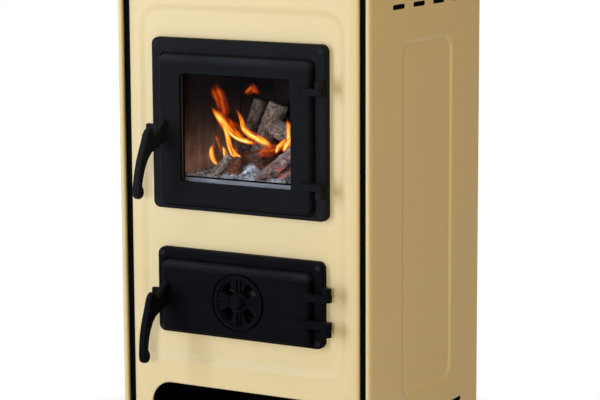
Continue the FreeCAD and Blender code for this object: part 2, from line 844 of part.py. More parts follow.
def door_frame(label, door):
    """A cast frame with a raised rim, a ledge for the leaf, a neck, hinge lugs and a hook for the latch."""
    frame = Casting(label)
    frame.pad("Y", rectangle(*door.frame, s.frame_round), (rim_face, frame_back))
    frame.round_edges(in_plane("Y", rim_face), s.frame_edge_round)
    frame.pad("Y", rectangle(*door.neck, s.frame_round), (frame_back, inner_front))
    frame.pocket("Y", rectangle(*door.ledge, s.leaf_round), (rim_face, ledge_face))
    frame.pocket("Y", rectangle(*door.opening, s.leaf_edge_round), (rim_face, inner_front))
    for lug in (door.low_lug, door.high_lug):
        frame.pad("Z", lug_outline(door), lug)
    eye = [((door.hinge, hinge_line), s.pin_radius)]
    frame.pocket("Z", eye, door.low_lug)
    frame.pocket("Z", eye, door.high_lug)
    hook_top = door.pivot[1] - s.tail_height / 2 - s.keeper_gap
    hook_floor = hook_top - s.keeper_depth
    hook_foot = hook_floor - s.keeper_foot
    tail_front = front - s.tail_forward - s.tail_thickness
    bar_back = tail_front - s.keeper_gap
    hook = polygon((rim_face + s.overrun, hook_foot), (rim_face + s.overrun, hook_floor),
                   (bar_back, hook_floor), (bar_back, hook_top), (bar_back - s.keeper_bar, hook_top),
                   (bar_back - s.keeper_bar, hook_floor))
    frame.pad("X", hook, door.keeper)
    frame.pocket("Y", [(centre, s.screw_head + s.screw_clearance) for centre in door.screws()],
                 (rim_face, rim_face + s.screw_head_height))
    frame.pocket("Y", [(centre, s.screw_radius + s.screw_clearance) for centre in door.screws()],
                 (rim_face, frame_back))
    return frame


def frame_fixings(prefix, door):
    """The corner screws of a frame and its two hinge pins."""
    seat = rim_face + s.screw_head_height
    screws = [fuse([rod("Y", centre, (rim_face + s.screw_clearance, seat), s.screw_head),
                    rod("Y", centre, (seat, front + s.front_return), s.screw_radius)])
              for centre in door.screws()]
    keep(f"{prefix}_frame_screws", group(screws))
    spans = ((door.low_lug[0], door.low_arm[1]), (door.high_arm[0], door.high_lug[1]))
    pins = [rod("Z", (door.hinge, hinge_line), span, s.pin_radius) for span in spans]
    keep(f"{prefix}_hinge_pins", group(pins))


def rope_ring(door, inset):
    """The outline of the leaf's seal, in from the leaf's edge."""
    return tuple(grown(limits, -inset) for limits in door.leaf)


def door_leaf(label, door):
    """A cast leaf with rounded front edges, hinge arms, a seal groove and a bearing for the handle."""
    leaf = Casting(label)
    span = (leaf_face, leaf_back)
    leaf.pad("Y", rectangle(*door.leaf, s.leaf_round), span)
    leaf.round_edges(in_plane("Y", leaf_face), s.leaf_edge_round)
    for arm in (door.low_arm, door.high_arm):
        leaf.pad("Z", arm_outline(door), arm)
    eye = [((door.hinge, hinge_line), s.pin_radius + s.pin_clearance)]
    leaf.pocket("Z", eye, door.low_arm)
    leaf.pocket("Z", eye, door.high_arm)
    outer = rope_ring(door, s.rope_setback)
    inner = rope_ring(door, s.rope_setback + s.rope)
    leaf.pocket("Y", rectangle(*outer, s.leaf_edge_round) + rectangle(*inner, s.leaf_edge_round / 2),
                (leaf_back - s.rope_recess, leaf_back))
    leaf.pocket("Y", [(door.pivot, s.pivot_radius + s.pin_clearance)], span)
    leaf.pocket("Y", [(door.pivot, s.clip_ring_radius + s.clip_recess_clearance)],
                (leaf_back - s.clip_recess_depth, leaf_back))
    return leaf


def rope_seal(label, door):
    """The rope in the leaf's groove, a flat-faced ring that bears on the frame's ledge."""
    seal = Casting(label)
    outer = rope_ring(door, s.rope_setback)
    inner = rope_ring(door, s.rope_setback + s.rope)
    seal.pad("Y", rectangle(*outer, s.leaf_edge_round) + rectangle(*inner, s.leaf_edge_round / 2),
             (leaf_back - s.rope_recess, leaf_back))


def firebox_window(leaf):
    """The window through the firebox leaf, with its glass, gasket, rail and clips behind it."""
    (left, right), (low, high) = fire.leaf
    window = ((left + s.window_left, right - s.window_right), (low + s.window_below, high - s.window_above))
    pane = tuple(grown(limits, s.glass_lap) for limits in window)
    rebate = tuple(grown(limits, s.glass_clearance) for limits in pane)
    rebate_floor = leaf_back - s.glass_rebate
    glass_front = rebate_floor + s.glass_seal
    glass_back = glass_front + s.glass
    leaf.pocket("Y", rectangle(*rebate, s.window_round), (rebate_floor, leaf_back))
    leaf.pocket("Y", rectangle(*window, s.window_round), (leaf_face, rebate_floor))
    gasket = Casting("glass_gasket")
    gasket.pad("Y", rectangle(*pane, s.window_round) + rectangle(*window, s.window_round),
               (rebate_floor, glass_front))
    glass = Casting("window_glass")
    glass.pad("Y", rectangle(*pane, s.window_round), (glass_front, glass_back))
    rail_low = pane[1][0]
    rail_high = window[1][0] + s.rail_height
    keep("glass_rail", block(window[0], (glass_back, leaf_back), (rail_low, rail_high)))
    clips = []
    for place_share in (-0.3, 0.3):
        x = middle_of(window[0]) + (window[0][1] - window[0][0]) * place_share
        across = (x - s.clip_width / 2, x + s.clip_width / 2)
        clips.append(block(across, (glass_back, leaf_back), (pane[1][1] - s.clip_bite, pane[1][1])))
    keep("glass_clips", group(clips))


def sector(span, start, inner, outer, centre):
    """A ring sector along Y that begins at an angle of turn."""
    whole = rod("Y", centre, span, outer, angle=s.port_angle, turn=start)
    return cut(whole, [rod("Y", centre, span, inner)])


def ports(span, centre):
    """Four air ports on the diagonals."""
    lead = 45 - SIZES["port_angle"] / 2
    return [sector(span, lead + 90 * number, s.port_inner, s.port_outer, centre) for number in range(4)]


def rosette_centre():
    return middle_of(ash.leaf[0]) + s.rosette_shift, middle_of(ash.leaf[1])


def air_rosette():
    """The turning air disc on the ash door: a rim, four ribbed spokes with ports between, a finger peg."""
    centre = rosette_centre()
    disc_back = leaf_face + s.rosette_recess - s.rosette_running_gap
    disc_face = disc_back - s.rosette_thickness
    dish = disc_face + s.rosette_dish
    disc = cut(rod("Y", centre, (disc_face, disc_back), s.rosette_radius),
               [rod("Y", centre, (disc_face - s.overrun, dish), s.rosette_radius - s.rosette_rim)]
               + ports((disc_face - s.overrun, disc_back + s.overrun), centre)
               + [rod("Y", centre, (disc_face, disc_back), s.spindle_radius + s.pin_clearance)])
    ribs = []
    reach = (s.port_inner, s.rosette_radius - s.rosette_rim)
    for sign in (-1, 1):
        middle = s.rib_spacing / 2 * sign
        thin = (middle - s.rib_width / 2, middle + s.rib_width / 2)
        for way in (-1, 1):
            long = reach if way > 0 else (-reach[1], -reach[0])
            for across, up in ((long, thin), (thin, long)):
                ribs.append(block((centre[0] + across[0], centre[0] + across[1]), (disc_face, dish),
                                  (centre[1] + up[0], centre[1] + up[1])))
    peg = rod("Y", (centre[0], centre[1] - s.peg_place), (disc_face - s.peg_height, dish), s.peg_radius)
    keep("air_rosette", fuse([disc, peg] + ribs))
    spindle = rod("Y", centre, (disc_face - s.rosette_running_gap, leaf_back), s.spindle_radius)
    dome = doc.addObject("Part::Sphere", "dome")
    bind(dome, Radius=s.hub_radius, Placement__Base__x=centre[0], Placement__Base__z=centre[1],
         Placement__Base__y=disc_face - s.rosette_running_gap)
    front_half = block(grown((centre[0], centre[0]), s.hub_radius),
                       (disc_face - s.rosette_running_gap - s.hub_height, disc_face - s.rosette_running_gap),
                       grown((centre[1], centre[1]), s.hub_radius))
    head = doc.addObject("Part::Common", "hub")
    head.Base = dome
    head.Tool = front_half
    keep("rosette_spindle", fuse([spindle, head]))


def ash_leaf_ports():
    """The ash leaf's round recess, the fixed ports behind the rosette and the spindle's hole."""
    leaf = door_leaf("ash_leaf_casting", ash).body
    del pieces["ash_leaf_casting"]
    centre = rosette_centre()
    through = (leaf_face - s.overrun, leaf_back + s.overrun)
    recess = rod("Y", centre, (through[0], leaf_face + s.rosette_recess),
                 s.rosette_radius + s.rosette_clearance)
    hole = rod("Y", centre, through, s.spindle_radius)
    keep("ash_door_leaf", cut(leaf, [recess, hole] + ports(through, centre)))


def handle(prefix, door, tilt):
    """A cast lever: an arm with a gusset, a hanging grip, a latch tail and a shaft into the leaf.

    It is drawn about its pivot, and its placement carries it to the leaf and tilts it.
    """
    x, z = door.pivot
    lever = Casting(f"{prefix}_handle")
    root_face = leaf_face - s.handle_gap
    half = s.handle_width / 2
    root = s.root_height / 2
    arm_end = front - s.arm_reach
    tip = front - s.handle_reach
    crook = front - s.crook_reach
    low = -s.handle_drop
    heel = tip + s.handle_grip
    outline = [[(root_face, root), ((arm_end, root - s.arm_fall), None, 0),
                ((crook + s.crook_radius, s.crook_rise), None, 0), ((crook, ZERO), s.crook_radius, 1),
                ((tip, low), s.front_bow_radius, 1), ((heel, low - s.tip_radius / 2), s.tip_radius, 1),
                ((heel, low + s.tip_radius), s.tip_radius, 1),
                ((arm_end, -s.gusset_drop), s.inner_bow_radius, -1),
                ((root_face, -root), s.gusset_radius, 1), ((root_face, root), None, 0)]]
    lever.pad("X", outline, (-half, half))
    tail = (front - s.tail_forward - s.tail_thickness, front - s.tail_forward)
    tail_end = door.frame[0][0] + s.tail_end_gap - x
    lever.pad("Y", rectangle((tail_end, ZERO), (-s.tail_height / 2, s.tail_height / 2)), tail)
    shaft_end = leaf_back - s.shaft_end_gap
    lever.pad("Y", [((ZERO, ZERO), s.pivot_radius)], (root_face, shaft_end))
    lever.body.Placement = FreeCAD.Placement(FreeCAD.Vector(), FreeCAD.Rotation(AXES["Y"], 1))
    bind(lever.body, Placement__Base__x=x, Placement__Base__z=z, Placement__Rotation__Angle=tilt)
    ring_span = (shaft_end - s.clip_ring_thickness, shaft_end)
    ring = cut(rod("Y", (x, z), ring_span, s.clip_ring_radius), [rod("Y", (x, z), ring_span, s.pivot_radius)])
    keep(f"{prefix}_handle_ring", ring)


front_panel()
side_panel("left_side_panel", -1)
side_panel("right_side_panel", 1)
corner_channel("left_corner_channel", -1)
corner_channel("right_corner_channel", 1)
back_panel()
base()
niche_walls()
top_plate()
hob()
flue()
inner_walls()
lining()
grate()
ash_pan()
door_frame("firebox_door_frame", fire)
frame_fixings("firebox", fire)
firebox_window(door_leaf("firebox_door_leaf", fire))
rope_seal("firebox_door_rope", fire)
handle("firebox", fire, s.fire_handle_tilt)
door_frame("ash_door_frame", ash)
frame_fixings("ash", ash)
ash_leaf_ports()
rope_seal("ash_door_rope", ash)
air_rosette()
handle("ash", ash, s.ash_handle_tilt)

doc.recompute()
for thing in doc.Objects:
    if {"Invalid", "Error"} & set(thing.State):
        raise RuntimeError(f"{thing.Label} failed: {thing.State}")
for label, thing in pieces.items():
    if thing.Shape.isNull() or not thing.Shape.isValid():
        raise RuntimeError(f"{label} has no valid shape")

os.makedirs("parts", exist_ok=True)
for label, thing in pieces.items():
    thing.Shape.exportStep(f"parts/{label}.step")
    print(label, len(thing.Shape.Solids), round(thing.Shape.Volume, 1))
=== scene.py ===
"""Looks of the wood stove: enamelled sheets, castings, levers, seals, and the fire behind the glass.

Shapes are worked out in millimetres in the stove's own frame and put into the meshes in metres.
Materials, lamps and the camera are in metres.
"""
import math

import bpy
import numpy as np
from mathutils import Matrix, Vector

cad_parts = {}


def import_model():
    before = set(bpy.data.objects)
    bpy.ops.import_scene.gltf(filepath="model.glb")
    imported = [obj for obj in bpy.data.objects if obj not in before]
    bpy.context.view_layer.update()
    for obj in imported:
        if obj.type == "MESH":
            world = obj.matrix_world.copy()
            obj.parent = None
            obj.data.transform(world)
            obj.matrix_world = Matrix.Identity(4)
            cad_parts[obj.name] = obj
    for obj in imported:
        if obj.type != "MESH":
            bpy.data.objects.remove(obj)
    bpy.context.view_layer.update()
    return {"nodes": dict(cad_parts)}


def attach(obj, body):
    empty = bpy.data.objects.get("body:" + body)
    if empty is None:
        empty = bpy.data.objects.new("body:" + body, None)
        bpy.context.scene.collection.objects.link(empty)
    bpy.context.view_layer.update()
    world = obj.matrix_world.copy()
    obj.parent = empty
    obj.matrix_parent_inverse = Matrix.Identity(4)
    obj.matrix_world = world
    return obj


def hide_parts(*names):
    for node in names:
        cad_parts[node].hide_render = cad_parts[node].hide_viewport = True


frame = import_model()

MM = 0.001
scene = bpy.context.scene

# Places on the stove, in millimetres
FRONT = -135.0
BACK = 217.0
SIDE = 203.0
FRONT_EDGE = 184.0
BOTTOM = 20.0
TOP = 717.0
LEAF_BACK = -139.4
FIRE_LEAF = ((-122.0, 121.0), (391.0, 602.0))
ASH_LEAF = ((-121.0, 118.0), (208.0, 309.0))
WINDOW = ((-87.5, 91.0), (424.0, 577.0))
ASH_LEVEL = 401.2

# Holes and field of the front, in millimetres: limits across and up, and the radius of the corners
FIRE_HOLE = (((-108, 107), (405, 588)), 10)
ASH_HOLE = (((-107, 104), (222, 295)), 10)
NICHE_HOLE = (((-152, 152), (38, 126)), 33)
FRONT_FIELD = (((-161, 161), (165, 667)), 30)

# Field and vents of a side, in millimetres
SIDE_FIELD_HALF = 78
SIDE_FIELD_HEIGHTS = (116, 621)
SIDE_FIELD_CORNER = 24
VENT_ROWS = (671.5, 76.0)
VENT_PITCH = 62.5
VENT_HALF_LENGTH = 19
VENT_HALF_HEIGHT = 3.5
VENT_CORNER = 3.1

# Depth of the pressed fields and thickness of the sheets, in millimetres
FIELD_DEPTH = 3.0
FRONT_WALL = 1.6
SIDE_WALL = 1.5


# Meshes

def quads(rows, columns, close_rows=False, close_columns=False):
    """Corner numbers of the faces of a grid of points, joined end to end where it closes."""
    row, column = np.meshgrid(np.arange(rows if close_rows else rows - 1),
                              np.arange(columns if close_columns else columns - 1), indexing="ij")
    next_row = (row + 1) % rows
    next_column = (column + 1) % columns
    corners = [row * columns + column, row * columns + next_column,
               next_row * columns + next_column, next_row * columns + column]
    return np.stack(corners, -1).reshape(-1, 4)


def outward(points, faces):
    """The faces of a closed shape, turned round if the volume that they enclose counts as negative."""
    a, b, c, d = (points[faces[:, corner]] for corner in range(4))
    volume = np.sum(a * (np.cross(b, c) + np.cross(c, d)))
    return faces if volume > 0 else faces[:, ::-1]


def joined(parts):
    """Several surfaces as one: points one after another, each one's corner numbers moved up to match."""
    starts = np.cumsum([0] + [len(points) for points, faces in parts[:-1]])
    faces = np.concatenate([part + start for (points, part), start in zip(parts, starts)])
    return np.concatenate([points for points, part in parts]), faces


def map_places(first, second, shape):
    """Map places for a grid of points, from numbers that repeat along its rows or columns."""
    pair = [np.broadcast_to(first, shape), np.broadcast_to(second, shape)]
    return np.stack(pair, -1).reshape(-1, 2)


def piece(name, points, faces, material, body, stands_for=(), uv=None):
    """A mesh object in the stove's frame that rides on a body."""
    mesh = bpy.data.meshes.new(name)
    mesh.from_pydata((np.asarray(points) * MM).tolist(), [], np.asarray(faces).tolist())
    mesh.polygons.foreach_set("use_smooth", np.ones(len(mesh.polygons), dtype=bool))
    if uv is not None:
        corner = np.empty(len(mesh.loops), dtype=np.int32)
        mesh.loops.foreach_get("vertex_index", corner)
        mesh.uv_layers.new(name="UVMap").data.foreach_set("uv", uv[corner].astype(np.float32).ravel())
    mesh.materials.append(material)
    thing = bpy.data.objects.new(name, mesh)
    scene.collection.objects.link(thing)
    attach(thing, body)
    if stands_for:
        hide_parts(*stands_for)
    return thing


def soft_step(x):
    """0 below 0, 1 above 1, and 3x squared less 2x cubed between."""
    x = np.clip(x, 0.0, 1.0)
    return x * x * (3.0 - 2.0 * x)


def grown(limits, by):
    """Two pairs of limits, each moved outwards at both ends."""
    return tuple((low - by, high + by) for low, high in limits)


def rounded_box(u, v, limits, radius):
    """Signed distance to a rectangle with round corners, negative inside."""
    (left, right), (low, high) = limits
    across = np.abs(u - (left + right) / 2) - (right - left) / 2 + radius
    along = np.abs(v - (low + high) / 2) - (high - low) / 2 + radius
    outside = np.hypot(np.maximum(across, 0), np.maximum(along, 0))
    return outside + np.minimum(np.maximum(across, along), 0) - radius


def lines(low, high, step, fine=()):
    """Grid lines at a step, with closer lines over the given stretches."""
    marks = np.linspace(low, high, int(round((high - low) / step)) + 1)
    for start, end, small in fine:
        marks = marks[(marks < start - small / 2) | (marks > end + small / 2)]
        marks = np.concatenate([marks, np.linspace(start, end, int(round((end - start) / small)) + 1)])
    return np.unique(np.round(marks, 4))


def punched(u, v, holes):
    """The faces of a grid less those inside the holes.

    The points at the edge of a hole are drawn onto its outline, down the slope of the distance to it.
    """
    nudge = 0.01
    faces = quads(*u.shape)
    u = u.ravel().copy()
    v = v.ravel().copy()
    for limits, radius in holes:
        gone = rounded_box(u[faces].mean(1), v[faces].mean(1), limits, radius) < 0
        rim = np.intersect1d(faces[gone], faces[~gone])
        faces = faces[~gone]
        a, b = u[rim], v[rim]
        away = rounded_box(a, b, limits, radius)
        rise_u = rounded_box(a + nudge, b, limits, radius) - rounded_box(a - nudge, b, limits, radius)
        rise_v = rounded_box(a, b + nudge, limits, radius) - rounded_box(a, b - nudge, limits, radius)
        u[rim] -= away * rise_u / (2 * nudge)
        v[rim] -= away * rise_v / (2 * nudge)
    return u, v, faces


def arc(centre, radius, start, end, count):
    """Points on an arc between two angles in degrees; the radius may be a pair, for an ellipse."""
    angle = np.radians(np.linspace(start, end, count))
    across, along = radius if isinstance(radius, tuple) else (radius, radius)
    return np.stack([centre[0] + across * np.cos(angle), centre[1] + along * np.sin(angle)], 1)


def distance_along(path):
    """Distance along a path at each of its points."""
    steps = np.linalg.norm(np.diff(path, axis=0), axis=1)
    return np.concatenate([[0.0], np.cumsum(steps)])


def resampled(rows, count, passes):
    """Rows of numbers taken evenly by their place in the list, each then drawn towards its neighbours."""
    rows = np.asarray(rows, float)
    even = np.linspace(0, len(rows) - 1, count)
    path = np.stack([np.interp(even, np.arange(len(rows)), column) for column in rows.T], 1)
    for turn in range(passes):
        path[1:-1] = (path[:-2] + 2 * path[1:-1] + path[2:]) / 4
    return path


def rounded_path(limits, radius, count):
    """Points evenly round a rectangle with round corners, the way out at each, and the distance along."""
    (left, right), (low, high) = limits
    turns = [((right - radius, low + radius), -90), ((right - radius, high - radius), 0),
             ((left + radius, high - radius), 90), ((left + radius, low + radius), 180)]
    corner_points = np.concatenate([arc(centre, radius, start, start + 90, 13) for centre, start in turns])
    loop = np.concatenate([corner_points, corner_points[:1]])
    place = distance_along(loop)
    even = np.linspace(0, place[-1], count, endpoint=False)
    path = np.stack([np.interp(even, place, column) for column in loop.T], 1)
    heading = np.roll(path, -1, 0) - np.roll(path, 1, 0)
    heading /= np.linalg.norm(heading, axis=1)[:, None]
    return path, np.stack([heading[:, 1], -heading[:, 0]], 1), even


def squared(part, power):
    """A cosine or sine drawn out towards a square by a power below 1, with its sign kept."""
    return np.sign(part) * np.abs(part) ** power


def squared_circle(count, power):
    """The cosine and sine round a circle, each drawn out towards a square."""
    angle = np.linspace(0, 2 * math.pi, count, endpoint=False)
    return squared(np.cos(angle), power), squared(np.sin(angle), power)


def bar(start, end, across, deep, power=0.4):
    """A straight bar, rounded off at its ends.

    Its section is a squared circle spanned by two half widths, and it is carried from start to end.
    """
    start, end, across, deep = (np.asarray(item, float) for item in (start, end, across, deep))
    corners = 32
    cosine, sine = squared_circle(corners, power)
    place = np.array([0, 0, 0.02, 0.06, 0.94, 0.98, 1, 1])[:, None, None]
    size = np.array([0, 0.8, 0.94, 1, 1, 0.94, 0.8, 0])[:, None, None]
    points = start + (end - start) * place + size * (cosine[:, None] * across + sine[:, None] * deep)
    points = points.reshape(-1, 3)
    return points, outward(points, quads(len(place), corners, False, True))


# Material helpers

def add(tree, kind, inputs=None, **settings):
    """A node with its settings, its inputs given as values or as sockets to link from."""
    node = tree.nodes.new(kind)
    for name, setting in settings.items():
        setattr(node, name, setting)
    for name, source in (inputs or {}).items():
        if isinstance(source, bpy.types.NodeSocket):
            tree.links.new(source, node.inputs[name])
        else:
            node.inputs[name].default_value = source
    return node


def math_node(tree, operation, first, second=0.5):
    return add(tree, "ShaderNodeMath", {0: first, 1: second}, operation=operation).outputs[0]


def product(tree, *values):
    """Several values multiplied together."""
    total = values[0]
    for value in values[1:]:
        total = math_node(tree, "MULTIPLY", total, value)
    return total


def ramp(tree, factor, stops):
    """A colour ramp through (place, colour) stops."""
    node = add(tree, "ShaderNodeValToRGB", {"Fac": factor})
    elements = node.color_ramp.elements
    while len(elements) < len(stops):
        elements.new(0.5)
    for element, (place, colour) in zip(elements, stops):
        element.position = place
        element.color = (*colour, 1.0)
    return node.outputs["Color"]


def mix_colour(tree, factor, first, second, blend="MIX"):
    node = add(tree, "ShaderNodeMix", data_type="RGBA", blend_type=blend)
    for place, source in ((0, factor), (6, first), (7, second)):
        if isinstance(source, bpy.types.NodeSocket):
            tree.links.new(source, node.inputs[place])
        else:
            node.inputs[place].default_value = source
    return node.outputs[2]


def shaded(tree, colour, level):
    """A colour multiplied by a level."""
    grey = add(tree, "ShaderNodeCombineXYZ", {0: level, 1: level, 2: level}).outputs[0]
    return add(tree, "ShaderNodeVectorMath", {0: colour, 1: grey}, operation="MULTIPLY").outputs[0]


def spread(tree, value, low, high, first=0.0, last=1.0):
    """A value between first and last taken to run from low to high, and held there beyond them."""
    inputs = {"Value": value, "From Min": first, "From Max": last, "To Min": low, "To Max": high}
    return add(tree, "ShaderNodeMapRange", inputs).outputs["Result"]


def noise(tree, vector, scale, detail=4.0, roughness=0.55):
    return add(tree, "ShaderNodeTexNoise", {"Vector": vector, "Scale": scale, "Detail": detail,
                                            "Roughness": roughness}).outputs["Fac"]


def coordinates(tree, kind="Object"):
    return add(tree, "ShaderNodeTexCoord").outputs[kind]


def axes_of(tree, vector):
    return add(tree, "ShaderNodeSeparateXYZ", {0: vector}).outputs


def scaled(tree, vector, scale):
    return add(tree, "ShaderNodeMapping", {"Vector": vector, "Scale": scale}).outputs[0]


def bump(tree, height, strength, distance):
    return add(tree, "ShaderNodeBump", {"Height": height, "Strength": strength,
                                        "Distance": distance}).outputs["Normal"]


def group(name, inputs, outputs):
    """An empty shader node group with named sockets, and its input and output nodes."""
    tree = bpy.data.node_groups.new(name, "ShaderNodeTree")
    for label, default in inputs:
        socket = tree.interface.new_socket(label, in_out="INPUT", socket_type="NodeSocketFloat")
        socket.default_value = default
    for label in outputs:
        tree.interface.new_socket(label, in_out="OUTPUT", socket_type="NodeSocketFloat")
    return tree, tree.nodes.new("NodeGroupInput"), tree.nodes.new("NodeGroupOutput")


def place_group(tree, source, **inputs):
    node = tree.nodes.new("ShaderNodeGroup")
    node.node_tree = source
    for name, value in inputs.items():
        node.inputs[name.replace("_", " ")].default_value = value
    return node


def sand_cast_group():
    """The skin of a sand casting: a fine grain and pits on a slow waviness, and a patchy shade."""
    tree, given, result = group("sand_cast_skin", [("Grain scale", 900.0), ("Patch scale", 18.0)],
                                ["Height", "Shade"])
    place = coordinates(tree)
    grain = noise(tree, place, given.outputs["Grain scale"], 3.0, 0.6)
    pit_scale = math_node(tree, "MULTIPLY", given.outputs["Grain scale"], 0.55)
    pits = add(tree, "ShaderNodeTexVoronoi", {"Vector": place, "Scale": pit_scale}).outputs["Distance"]
    waves = noise(tree, place, given.outputs["Patch scale"], 3.0)
    rough = math_node(tree, "ADD", grain, math_node(tree, "MULTIPLY", pits, 0.5))
    height = math_node(tree, "ADD", rough, math_node(tree, "MULTIPLY", waves, 0.6))
    tree.links.new(height, result.inputs["Height"])
    tree.links.new(waves, result.inputs["Shade"])
    return tree


def dust_and_top_light_group():
    """A mask for settled dust and soot and for painted top light: more where the surface faces up, broken up
    by noise.
    """
    tree, given, result = group("dust_and_top_light_mask", [("Amount", 0.3), ("Patch scale", 30.0)], ["Mask"])
    facing = axes_of(tree, add(tree, "ShaderNodeNewGeometry").outputs["Normal"])[2]
    upward = spread(tree, facing, 0.15, 1.0)
    patch = noise(tree, coordinates(tree), given.outputs["Patch scale"], 5.0)
    tree.links.new(product(tree, upward, patch, given.outputs["Amount"]), result.inputs["Mask"])
    return tree


SAND_CAST = sand_cast_group()
DUST_AND_TOP_LIGHT = dust_and_top_light_group()


def material(name, **constants):
    """A material with its Principled shader, whose unchanging values are set on its own sockets."""
    made = bpy.data.materials.new(name)
    made.use_nodes = True
    shader = made.node_tree.nodes["Principled BSDF"]
    for label, value in constants.items():
        shader.inputs[label.replace("_", " ")].default_value = value
    return made, made.node_tree, shader


def connect(tree, shader, **sources):
    for label, source in sources.items():
        tree.links.new(source, shader.inputs[label.replace("_", " ")])


# Finishes

def cream_enamel():
    """Fired enamel: a deep cream with a slow drift of tone, a faint orange peel and fine specks."""
    made, tree, shader = material("cream_enamel", Specular_IOR_Level=0.08)
    place = coordinates(tree)
    drift = noise(tree, place, 2.2, 1.0)
    tone = ramp(tree, drift, [(0.35, (0.752, 0.596, 0.305)), (0.65, (0.76, 0.606, 0.318))])
    specks = add(tree, "ShaderNodeTexVoronoi", {"Vector": place, "Scale": 260.0}).outputs["Distance"]
    dots = ramp(tree, specks, [(0.02, (0.6, 0.6, 0.6)), (0.06, (1.0, 1.0, 1.0))])
    connect(tree, shader, Base_Color=mix_colour(tree, 0.2, tone, dots, "MULTIPLY"),
            Roughness=spread(tree, noise(tree, place, 5.0, 2.0), 0.16, 0.2),
            Normal=bump(tree, noise(tree, place, 420.0, 2.0), 0.03, 0.0002))
    return made


def cast_black(name, tone, dust_and_highlight_tone, grain=900.0, strength=0.3, top_edge=None):
    """Stove-blacked cast iron: sandy skin, patchy tone and a greyer bloom of dust and painted top light on
    faces that look up.

    A height for the top edge gives it a paler band just below that edge: a painted highlight where the
    rounded edge catches light from above.
    """
    made, tree, shader = material(name, Specular_IOR_Level=0.025)
    skin = place_group(tree, SAND_CAST, Grain_scale=grain, Patch_scale=16.0)
    # settled dust and painted top light: faces that look up are paled, as if lit from above
    dust_and_top_light = place_group(tree, DUST_AND_TOP_LIGHT, Amount=0.5, Patch_scale=40.0)
    shade = ramp(tree, skin.outputs["Shade"], [(0.3, tuple(0.8 * value for value in tone)),
                                               (0.7, tuple(1.2 * value for value in tone))])
    colour = mix_colour(tree, dust_and_top_light.outputs["Mask"], shade, (*dust_and_highlight_tone, 1.0))
    # painted highlight: a paler band just under the top edge, patchy with the skin's tone
    if top_edge is not None:
        height = axes_of(tree, coordinates(tree))[2]
        rub = product(tree, spread(tree, height, 0.0, 1.0, top_edge - 0.012, top_edge - 0.003),
                      spread(tree, skin.outputs["Shade"], 0.3, 0.8, 0.3, 0.7))
        colour = mix_colour(tree, rub, colour, (*dust_and_highlight_tone, 1.0))
    connect(tree, shader, Base_Color=colour, Roughness=spread(tree, skin.outputs["Shade"], 0.42, 0.58),
            Normal=bump(tree, skin.outputs["Height"], strength, 0.0004))
    return made


def sheet_black(name, dark, pale):
    """Satin black paint on sheet steel, with a fine orange peel."""
    made, tree, shader = material(name, Specular_IOR_Level=0.012)
    place = coordinates(tree)
    patches = noise(tree, place, 9.0)
    connect(tree, shader, Base_Color=ramp(tree, patches, [(0.3, (dark,) * 3), (0.75, (pale,) * 3)]),
            Roughness=spread(tree, noise(tree, place, 30.0), 0.4, 0.55),
            Normal=bump(tree, noise(tree, place, 700.0, 2.0), 0.08, 0.0002))
    return made


def sooty_steel():
    """Bare steel inside the stove, brown and black with heat and soot."""
    made, tree, shader = material("sooty_steel", Metallic=0.3)
    place = coordinates(tree)
    stain = noise(tree, place, 14.0, 6.0, 0.65)
    connect(tree, shader,
            Base_Color=ramp(tree, stain, [(0.3, (0.02, 0.017, 0.015)), (0.55, (0.06, 0.05, 0.042)),
                                          (0.8, (0.13, 0.11, 0.095))]),
            Roughness=spread(tree, stain, 0.5, 0.85),
            Normal=bump(tree, noise(tree, place, 300.0), 0.15, 0.0004))
    return made


def fire_brick():
    """Firebrick streaked upwards by smoke, with painted firelight: pale low down and dark above; darker
    behind a joint.

    The joint is that of two bricks. The painted firelight halves with every 17 mm of height, between a least
    and a most.
    """
    plain_height, halving_height = 0.4853, 0.017
    least, most = 0.12, 6.0
    joint_at = 0.064
    made, tree, shader = material("fire_brick", Specular_IOR_Level=0.1)
    place = coordinates(tree)
    axes = axes_of(tree, place)
    stain = noise(tree, place, 26.0, 7.0, 0.65)
    streaks = noise(tree, scaled(tree, place, (60.0, 60.0, 5.0)), 1.0, 4.0)
    tone = ramp(tree, math_node(tree, "MULTIPLY", math_node(tree, "ADD", stain, streaks), 0.5), [
        (0.3, (0.03, 0.014, 0.009)), (0.5, (0.066, 0.036, 0.025)), (0.68, (0.13, 0.08, 0.058))])
    # painted firelight: up to six times brighter near the ash, falling off upwards
    drop = math_node(tree, "SUBTRACT", plain_height, axes[2])
    halvings = math_node(tree, "DIVIDE", drop, halving_height)
    painted_firelight = spread(tree, math_node(tree, "POWER", 2.0, halvings), least, most, least, most)
    rear = spread(tree, axes[1], 1.0, 0.8, joint_at - 0.004, joint_at + 0.004)
    gap = math_node(tree, "ABSOLUTE", math_node(tree, "SUBTRACT", axes[1], joint_at))
    joint = spread(tree, gap, 0.0, 1.0, 0.0012, 0.0028)
    level = product(tree, painted_firelight, rear, spread(tree, joint, 0.1, 1.0))
    grit = math_node(tree, "ADD", noise(tree, place, 380.0, 4.0), joint)
    connect(tree, shader, Base_Color=shaded(tree, tone, level), Roughness=spread(tree, stain, 0.8, 1.0),
            Normal=bump(tree, grit, 0.5, 0.0015))
    return made


def stove_glass():
    """Clear ceramic glass with a faint haze of soot; shadow rays pass straight through."""
    made, tree, shader = material("stove_glass", Transmission_Weight=1.0, IOR=1.03, Metallic=0.0,
                                  Specular_IOR_Level=0.2)
    haze = noise(tree, coordinates(tree), 22.0, 5.0)
    tint = ramp(tree, haze, [(0.35, (0.98, 0.97, 0.95)), (0.8, (0.9, 0.87, 0.83))])
    connect(tree, shader, Base_Color=tint, Roughness=spread(tree, haze, 0.0, 0.03))
    clear = add(tree, "ShaderNodeBsdfTransparent").outputs[0]
    shadow = add(tree, "ShaderNodeLightPath").outputs["Is Shadow Ray"]
    both = add(tree, "ShaderNodeMixShader", {0: shadow, 1: shader.outputs[0], 2: clear}).outputs[0]
    tree.links.new(both, tree.nodes["Material Output"].inputs["Surface"])
    return made


